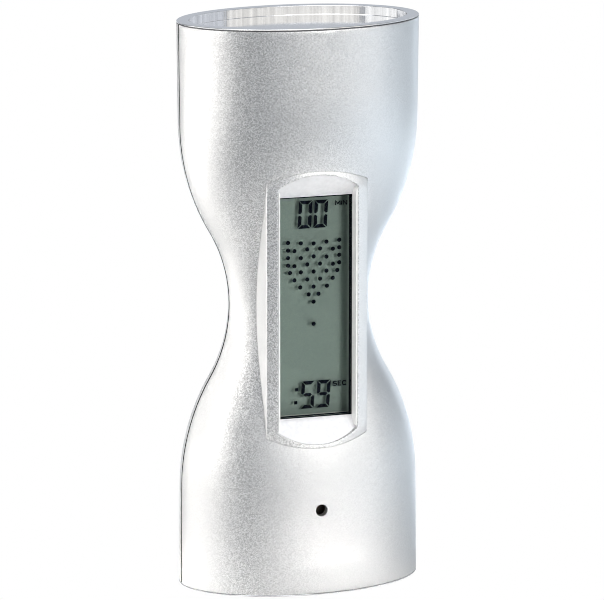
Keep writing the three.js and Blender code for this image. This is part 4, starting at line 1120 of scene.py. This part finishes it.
# A polygon's corners rounded: each is a short curve from one side to the next, drawn as two blended lines.
def softPolygon(corners, radius, steps):
    corners = np.asarray(corners, float)
    before = np.roll(corners, 1, axis=0) - corners
    after = np.roll(corners, -1, axis=0) - corners
    start = corners + radius * before / np.linalg.norm(before, axis=1)[:, None]
    end = corners + radius * after / np.linalg.norm(after, axis=1)[:, None]
    t = np.linspace(0, 1, steps)[None, :, None]
    curve = (1 - t) ** 2 * start[:, None] + 2 * t * (1 - t) * corners[:, None] + t ** 2 * end[:, None]
    return curve.reshape(-1, 2)


def makeContact(name, node):
    low, high = nodeBox(node)
    tabZ = centreOf("battery_high" if node == "contact_negative" else "battery_low")[2]
    tabLow, tabHigh = tabZ - contact["tabHalf"], tabZ + contact["tabHalf"]
    foot = nodeBox("battery_low")[0][1]
    corners = [(low[1], tabLow), (foot, tabLow), (foot, low[2]), (high[1], low[2]), (high[1], high[2]),
               (foot, high[2]), (foot, tabHigh), (low[1], tabHigh)]
    outline = softPolygon(corners, contact["corner"], contact["cornerSteps"])
    piece = loft(name, np.stack([np.insert(outline, 0, x, axis=1) for x in (low[0], high[0])]))
    hole = [(contact["hole"], low[0] - overrun), (contact["hole"], high[0] + overrun)]
    carve(piece, turned("cutter", hole, (0, low[1] + contact["holeUp"], tabZ), "x", contact["holeSides"]))
    settle(piece, finish["brightSteel"], "bright_steel", node)


makeCell("cell_low", "battery_low", 1)
makeCell("cell_high", "battery_high", -1)
makeSpring("cell_spring_low", "battery_spring_low", -1)
makeSpring("cell_spring_high", "battery_spring_high", 1)
for end in ("positive", "negative", "bridge"):
    makeContact(end + "_contact", "contact_" + end)
print("cells, springs and contacts made")


# Small parts, each a profile turned about its own axis; along is measured from the low end of its node
turnedSides = 72


def softRim(radius, high, edge, steps=5):  # a disc's profile with round edges
    c, s = quarter(steps)
    below = np.stack([radius - edge * (1 - s), edge * (1 - c)], axis=-1)
    above = np.stack([radius - edge * (1 - c), high - edge * (1 - s)], axis=-1)
    return np.concatenate([[(nearAxis, 0)], below, above, [(nearAxis, high)]])


def ballProfile(radius, start=0.01, steps=40):
    turn = np.linspace(start, np.pi - start, steps)
    return np.stack([radius * np.sin(turn), radius - radius * np.cos(turn)], axis=-1)


# A drop of resin, flatter on top than a ball: its height is a blunted cosine.
def dropProfile(radius, rise, rim, blunt, start=0.02, steps=22):
    turn = np.linspace(start, np.pi / 2, steps)
    dome = np.stack([radius * np.sin(turn), rim + rise * np.cos(turn) ** blunt], axis=-1)
    return np.concatenate([dome, [(radius, 0), (nearAxis, 0)]])


smallParts = {
    "piezo_disc": {
        "node": "buzzer_disc", "axis": "y", "finish": "brass", "slot": "buzzer_brass",
        "profile": softRim(10.0, 0.3, 0.08),
    },
    "piezo_ceramic": {
        "node": "buzzer_ceramic", "axis": "y", "finish": "ceramic", "slot": "buzzer_ceramic",
        "profile": softRim(6.0, 0.25, 0.06),
    },
    "piezo_retainer": {
        "node": "buzzer_retainer", "axis": "y", "finish": "greyPlastic", "slot": "grey_plastic",
        "profile": [(8.0, 0.2), (8.2, 0), (9.8, 0), (10.0, 0.2),
                    (10.0, 1.3), (9.8, 1.5), (8.2, 1.5), (8.0, 1.3)],
        "closed": True,
    },
    "tilt_can": {
        "node": "tilt_switch_can", "axis": "z", "finish": "brightSteel", "slot": "bright_steel",
        "profile": [(nearAxis, 0), (2.3, 0), (2.52, 0.08), (2.6, 0.3), (2.6, 9.9),
                    (2.5, 10), (2.2, 10), (2.1, 9.9), (2.1, 0.5), (nearAxis, 0.5)],
    },
    "tilt_can_lid": {
        "node": "tilt_switch_lid", "axis": "z", "finish": "greyPlastic", "slot": "grey_plastic",
        "profile": [(nearAxis, 0), (1.95, 0), (2.05, 0.1), (2.05, 0.8), (2.5, 0.8), (2.6, 0.9),
                    (2.6, 1.4), (2.4, 1.6), (0.8, 1.6), (0.7, 1.45), (nearAxis, 1.45)],
    },
    "tilt_switch_ball": {
        "node": "tilt_ball", "axis": "z", "finish": "brightSteel", "slot": "bright_steel", "body": "ball",
        "profile": ballProfile(1.5),
    },
    "crystal_can": {
        "node": "quartz_crystal", "axis": "z", "finish": "brightSteel", "slot": "bright_steel",
        "profile": [(nearAxis, 0), (0.8, 0), (1.0, 0.05), (1.0, 0.45), (0.94, 0.55),
                    (0.94, 5.7), (0.85, 5.9), (0.65, 6), (nearAxis, 6)],
    },
    "capacitor_sleeve": {
        "node": "buffer_capacitor", "axis": "z", "finish": "epoxy", "slot": "black_epoxy",
        "profile": [(nearAxis, 0), (1.9, 0), (2.35, 0.1), (2.5, 0.35), (2.5, 0.8), (2.3, 1.0), (2.3, 1.15),
                    (2.5, 1.4), (2.5, 5.7), (2.4, 5.92), (2.15, 6), (1.95, 5.9), (nearAxis, 5.9)],
    },
    "epoxy_drop": {
        "node": "controller_chip", "axis": "y", "finish": "epoxy", "slot": "black_epoxy",
        "profile": dropProfile(5.9, 1.72, 0.08, 0.8),
    },
}
for name, part in smallParts.items():
    point = centreOf(part["node"])
    line = "xyz".index(part["axis"])
    point[line] = nodeBox(part["node"])[0][line]
    rings = turnedRings(part["profile"], point, part["axis"], turnedSides)
    piece = loft(name, rings, closed=part.get("closed", False))
    settle(piece, finish[part["finish"]], part["slot"], part["node"], body=part.get("body", "case"))


# The flat cable: an easy curve from the main board to the key board, with a ridge over each conductor
cable = {"ridge": 0.06, "pitch": 1.0, "thickness": 0.5, "along": 40, "across": 90}


def makeCable():
    low, high = nodeBox("key_ribbon")
    t = np.linspace(0, 1, cable["along"])[:, None]
    x = np.linspace(low[0], high[0], cable["across"])[None, :]
    y = (1 - t) ** 3 * low[1] + 3 * t * (1 - t) * (low[1] + high[1]) / 2 + t ** 3 * high[1]
    z = low[2] + (high[2] - low[2] - cable["thickness"]) * (3 * t ** 2 - 2 * t ** 3)
    ridge = cable["ridge"] * np.cos(2 * np.pi * x / cable["pitch"]) - cable["ridge"]
    under, over = (np.stack([x + 0 * t, y + 0 * x, level], axis=-1)
                   for level in (z - ridge, z + cable["thickness"] + ridge))
    settle(slab("key_cable", under, over), finish["ribbon"], "ribbon_grey", "key_ribbon")


makeCable()
print("small parts made")


# End caps: dish floor, dish wall, flat land, thin lip and the skirt inside the case, carried round an oval
cap = {
    "land": 3.1, "dish": 2.3, "floor": 1.6, "skirtEnd": 4.6, "skirtEdge": 0.2, "lipEdge": 0.26,
    "lipBack": 0.32, "lipIn": 0.05, "landEdge": 0.2, "dishCorner": 0.18, "edgeSteps": 6, "near": 0.04,
    "hub": 0.01, "halfway": 0.5, "around": 160,
}


def makeCap(name, node, upward):
    rounds = list(zip(*(1 - side for side in quarter(cap["edgeSteps"]))))
    lipEdge, landEdge, corner = cap["lipEdge"], cap["landEdge"], cap["dishCorner"]
    land, dish, hub = cap["land"], cap["dish"], cap["hub"]
    skirt, skirtEnd, skirtEdge = caseShape["wall"] + fit, cap["skirtEnd"], cap["skirtEdge"]
    near = cap["near"]  # a ring this close to each bend keeps the flats flat
    spots = [(land, hub, dish), (land, cap["halfway"], dish), (land + corner + near, 1, dish)]
    spots += [(land + corner * b, 1, dish - corner * a) for a, b in rounds]
    spots += [(land, 1, dish - corner - near), (land, 1, landEdge + near)]
    spots += [(land - landEdge * a, 1, landEdge * b) for a, b in rounds]
    spots += [(land - landEdge - near, 1, 0), (lipEdge + near, 1, 0)]
    spots += [(lipEdge * b, 1, lipEdge * a) for a, b in rounds]
    spots += [(cap["lipIn"], 1, cap["lipBack"]), (skirt, 1, cap["lipBack"]), (skirt, 1, skirtEnd - skirtEdge)]
    spots += [(skirt + skirtEdge, 1, skirtEnd), (land, 1, skirtEnd)]
    spots += [(land, 1, dish + cap["floor"]), (land, hub, dish + cap["floor"])]
    inset, share, depth = np.array(spots).T[:, :, None]
    turn = fullTurn(cap["around"])
    x = (capHigh[0] - inset) * share * np.cos(turn)
    y = (capHigh[1] - inset) * share * np.sin(turn)
    z = (height - depth if upward else depth) + 0 * x
    settle(loft(name, np.stack([x, y, z], axis=-1)), finish["gloss"], "gloss_silver", node)


makeCap("lower_end_cap", "bottom_cap", False)
makeCap("upper_end_cap", "top_cap", True)
print("end caps made")


# Nodes whose shape is right as it is: a finish and the width of the edges, or 0 where rounds are smoothed
carried = {
    "lcd_holder": ("whitePlastic", 0.25),
    "zebra_strip_top": ("zebra", 0.15), "zebra_strip_bottom": ("zebra", 0.15),
    "main_board": ("board", 0.12), "key_board": ("board", 0.12), "battery_tray": ("greyPlastic", 0.25),
    "battery_wire_red": ("wireRed", 0), "battery_wire_black": ("wireBlack", 0),
    "buzzer_wire_red": ("wireRed", 0), "buzzer_wire_black": ("wireBlack", 0),
}
softening = {"merge": 0.001, "edgeSegments": 3, "roundLevels": 2}


def soften(node, edge):
    merge = node.modifiers.new("merge", "WELD")
    merge.merge_threshold = softening["merge"] * mm
    if edge:
        bevel = node.modifiers.new("edges", "BEVEL")
        bevel.width = edge * mm
        bevel.segments = softening["edgeSegments"]
        bevel.limit_method = "ANGLE"
    else:
        rounds = node.modifiers.new("rounds", "SUBSURF")
        rounds.levels = softening["roundLevels"]
        rounds.render_levels = softening["roundLevels"]


for nodeName, (finishName, edge) in carried.items():
    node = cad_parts[nodeName]
    node.data.materials.clear()
    node.data.materials.append(finish[finishName])
    soften(node, edge)
print("carried nodes finished:", len(carried), "still plain:",
      [name for name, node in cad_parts.items() if not node.hide_render and name not in carried])


# Stage: a white floor, soft lamps and the camera
stageSet = {"floorRadius": 700.0, "floorDrop": 0.035, "floorSides": 128, "ambient": 0.227,
            "ambientColour": (0.82, 0.9, 1.0, 1)}


# White to the eye: plain glow for what the camera sees, and the lit surface for everything else.
def whiteToCamera(tree, shader, output):
    glow = addNode(tree, "Emission", Color=(1, 1, 1, 1), Strength=1.0)
    sight = addNode(tree, "LightPath").outputs["Is Camera Ray"]
    mixed = mixShaders(tree, sight, shader.outputs[0], glow.outputs[0])
    feed(tree, tree.nodes[output].inputs["Surface"], mixed)


def makeFloor():
    turn = fullTurn(stageSet["floorSides"])
    radius = stageSet["floorRadius"]
    edge = np.stack([radius * np.cos(turn), radius * np.sin(turn), 0 * turn - stageSet["floorDrop"]], axis=-1)
    mesh = bpy.data.meshes.new("floor")
    mesh.from_pydata((edge * mm).tolist(), [], [np.arange(turn.size).tolist()])
    material, tree, shader = newMaterial("white floor", Base_Color=(0.88, 0.88, 0.88, 1), Roughness=0.9)
    whiteToCamera(tree, shader, "Material Output")
    mesh.materials.append(material)
    floor = showMesh("floor", mesh)
    return floor


def makeWorld():
    world = bpy.data.worlds.new("studio")
    world.use_nodes = True
    tree = world.node_tree
    air = feedAll(tree, tree.nodes["Background"],
                  {"Color": stageSet["ambientColour"], "Strength": stageSet["ambient"]})
    whiteToCamera(tree, air, "World Output")
    scene.world = world


def litCollection(name, members):  # what a lamp may be kept to
    collection = bpy.data.collections.new(name)
    for member in members:
        collection.objects.link(member)
    return collection


endCaps = [bpy.data.objects[name] for name in ("lower_end_cap", "upper_end_cap")]
rearFilm = [bpy.data.objects["reflector_film"]]
sills = [bpy.data.objects["display_surround_frame"]]
shades = [bpy.data.objects[name] for name in ("minute_digits", "second_digits", "sand_dots", "minute_label",
                                              "second_label", "lens_border")]
others = [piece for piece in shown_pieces() if piece not in endCaps + rearFilm]
lit = {
    "timer": litCollection("all other pieces", others),
    "caps": litCollection("end caps only", endCaps),
    "display": litCollection("display's rear film only", rearFilm),
    "sills": litCollection("display's sills only", sills),
    "marks": litCollection("what shades the film", shades + sills + [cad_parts["lcd_holder"]]),
    "floor": litCollection("floor only", [makeFloor()]),
}
tints = {"white": (1, 1, 1), "warm": (1.0, 0.975, 0.93), "cool": (0.8, 0.91, 1.0), "pale": (0.88, 0.92, 1.0),
         "amber": (1.0, 0.93, 0.8), "cream": (1.0, 0.97, 0.9), "ice": (0.92, 0.95, 1.0)}


def areaLamp(name, azimuth, rise, distance, size, watts, tint, onto, aim=(0, 0, middle), spread=180):
    lamp = bpy.data.lights.new(name, "AREA")
    lamp.spread = math.radians(spread)
    lamp.shape = "RECTANGLE"
    lamp.size, lamp.size_y = size[0] * mm, size[1] * mm
    lamp.energy = watts
    lamp.color = tints[tint]
    turn = math.radians(azimuth)
    target = Vector(aim) * mm
    made = bpy.data.objects.new(name, lamp)
    made.location = Vector((math.sin(turn) * distance, -math.cos(turn) * distance, rise)) * mm
    made.rotation_euler = (target - made.location).to_track_quat("-Z", "Y").to_euler()
    made.visible_camera = False
    made.light_linking.receiver_collection = lit[onto]
    if onto == "display":
        made.light_linking.blocker_collection = lit["marks"]
    scene.collection.objects.link(made)


# Lamps: azimuth from the front, height, distance, size, watts, tint and what each lights
lamps = {
    "front_panel": (20, 450, 900, (350, 500), 3.0, "warm", "timer"),
    "low_front_panel": (-5, 270, 900, (260, 260), 0.45, "white", "timer"),
    "low_right_panel": (118, 90, 800, (300, 320), 0.18, "cool", "timer"),
    "low_side_panel": (85, 110, 800, (300, 380), 0.14, "cool", "timer"),
    "top_front_panel": (18, 950, 520, (800, 800), 0.8, "white", "timer"),
    "back_panel": (162, 380, 1300, (2600, 1000), 1.4, "white", "timer"),
    "cap_back_panel": (162, 380, 1300, (2600, 1000), 2.6, "pale", "caps"),
    "cap_front_panel": (5, 600, 900, (2400, 1100), 7.0, "amber", "caps"),
    "cap_top_panel": (-17, 1100, 250, (800, 800), 5.0, "white", "caps"),
    "cap_left_panel": (-85, 380, 900, (1200, 900), 3.8, "cream", "caps"),
    "cap_right_panel": (88, 380, 900, (1100, 900), 1.6, "ice", "caps"),
    "sill_panel": (0, 1100, 600, (500, 500), 2.0, "white", "sills"),
    "display_spot": (32, 250, 900, (250, 150), 2.8, "white", "display"),
}
# Tall panels all round, with watts for each azimuth; those from coolFrom degrees on are cool
panels = {"rise": 380, "distance": 800, "size": (300, 900), "coolFrom": 60,
          "watts": {-155: 0.37, -130: 1.35, -107: 1.06, -87: 0.66, -66: 2.75, 48: 1.2, 72: 0.1, 125: 0.65}}
# Pools of light on the floor: watts for each azimuth, by how far out they fall
pools = {"rise": 600, "further": 60, "rings": (
    {"reach": 130, "spread": 24, "size": 60, "watts": {-100: 0.05, 20: 0.112}},
    {"reach": 75, "spread": 14, "size": 40, "watts": {-105: 0.003, 140: 0.008}},
    {"reach": 420, "spread": 60, "size": 120,
     "watts": {-100: 1.55, 60: 0.75, 100: 0.26, -140: 0.31, 140: 0.88, 170: 0.243}},
    {"reach": 150, "spread": 24, "size": 60, "watts": {150: 0.1}},
    {"reach": 50, "spread": 8, "size": 20, "watts": {-90: 0.01, 10: 0.0064, 35: 0.0025}},
)}


def sideTint(azimuth):
    return "warm" if azimuth < panels["coolFrom"] else "cool"


for name, lamp in lamps.items():
    areaLamp(name, *lamp)
for azimuth, watts in panels["watts"].items():
    areaLamp("panel_%d" % azimuth, azimuth, panels["rise"], panels["distance"], panels["size"], watts,
             sideTint(azimuth), "timer")
for ring in pools["rings"]:
    reach, size = ring["reach"], ring["size"]
    for azimuth, watts in ring["watts"].items():
        turn = math.radians(azimuth)
        aim = (math.sin(turn) * reach, -math.cos(turn) * reach, 0)
        areaLamp("pool_%d_%d" % (reach, azimuth), azimuth, pools["rise"], reach + pools["further"],
                 (size, size), watts, sideTint(azimuth), "floor", aim, ring["spread"])

makeWorld()
scene.view_settings.view_transform = "Standard"
scene.cycles.transparent_max_bounces = 24
scene.cycles.sample_clamp_indirect = 0.0
scene.cycles.filter_width = 1.0  # fine flakes stay crisp

view = {"yaw": 17.804, "lift": 12.327, "distance": 1204.4, "lens": 282.75, "sensor": 36.0,
        "shift": (0.0064, -0.0019), "clipEnd": 20}


def makeCamera():
    data = bpy.data.cameras.new("camera")
    data.lens = view["lens"]
    data.sensor_width = view["sensor"]
    data.shift_x, data.shift_y = view["shift"]
    data.clip_end = view["clipEnd"]
    camera = bpy.data.objects.new("camera", data)
    yaw, lift = math.radians(view["yaw"]), math.radians(view["lift"])
    away = Vector((-math.sin(yaw) * math.cos(lift), -math.cos(yaw) * math.cos(lift), math.sin(lift)))
    target = Vector((0, 0, middle)) * mm
    camera.location = target + away * view["distance"] * mm
    camera.rotation_euler = (-away).to_track_quat("-Z", "Y").to_euler()
    scene.collection.objects.link(camera)
    scene.camera = camera


makeCamera()
print("stage and camera set")
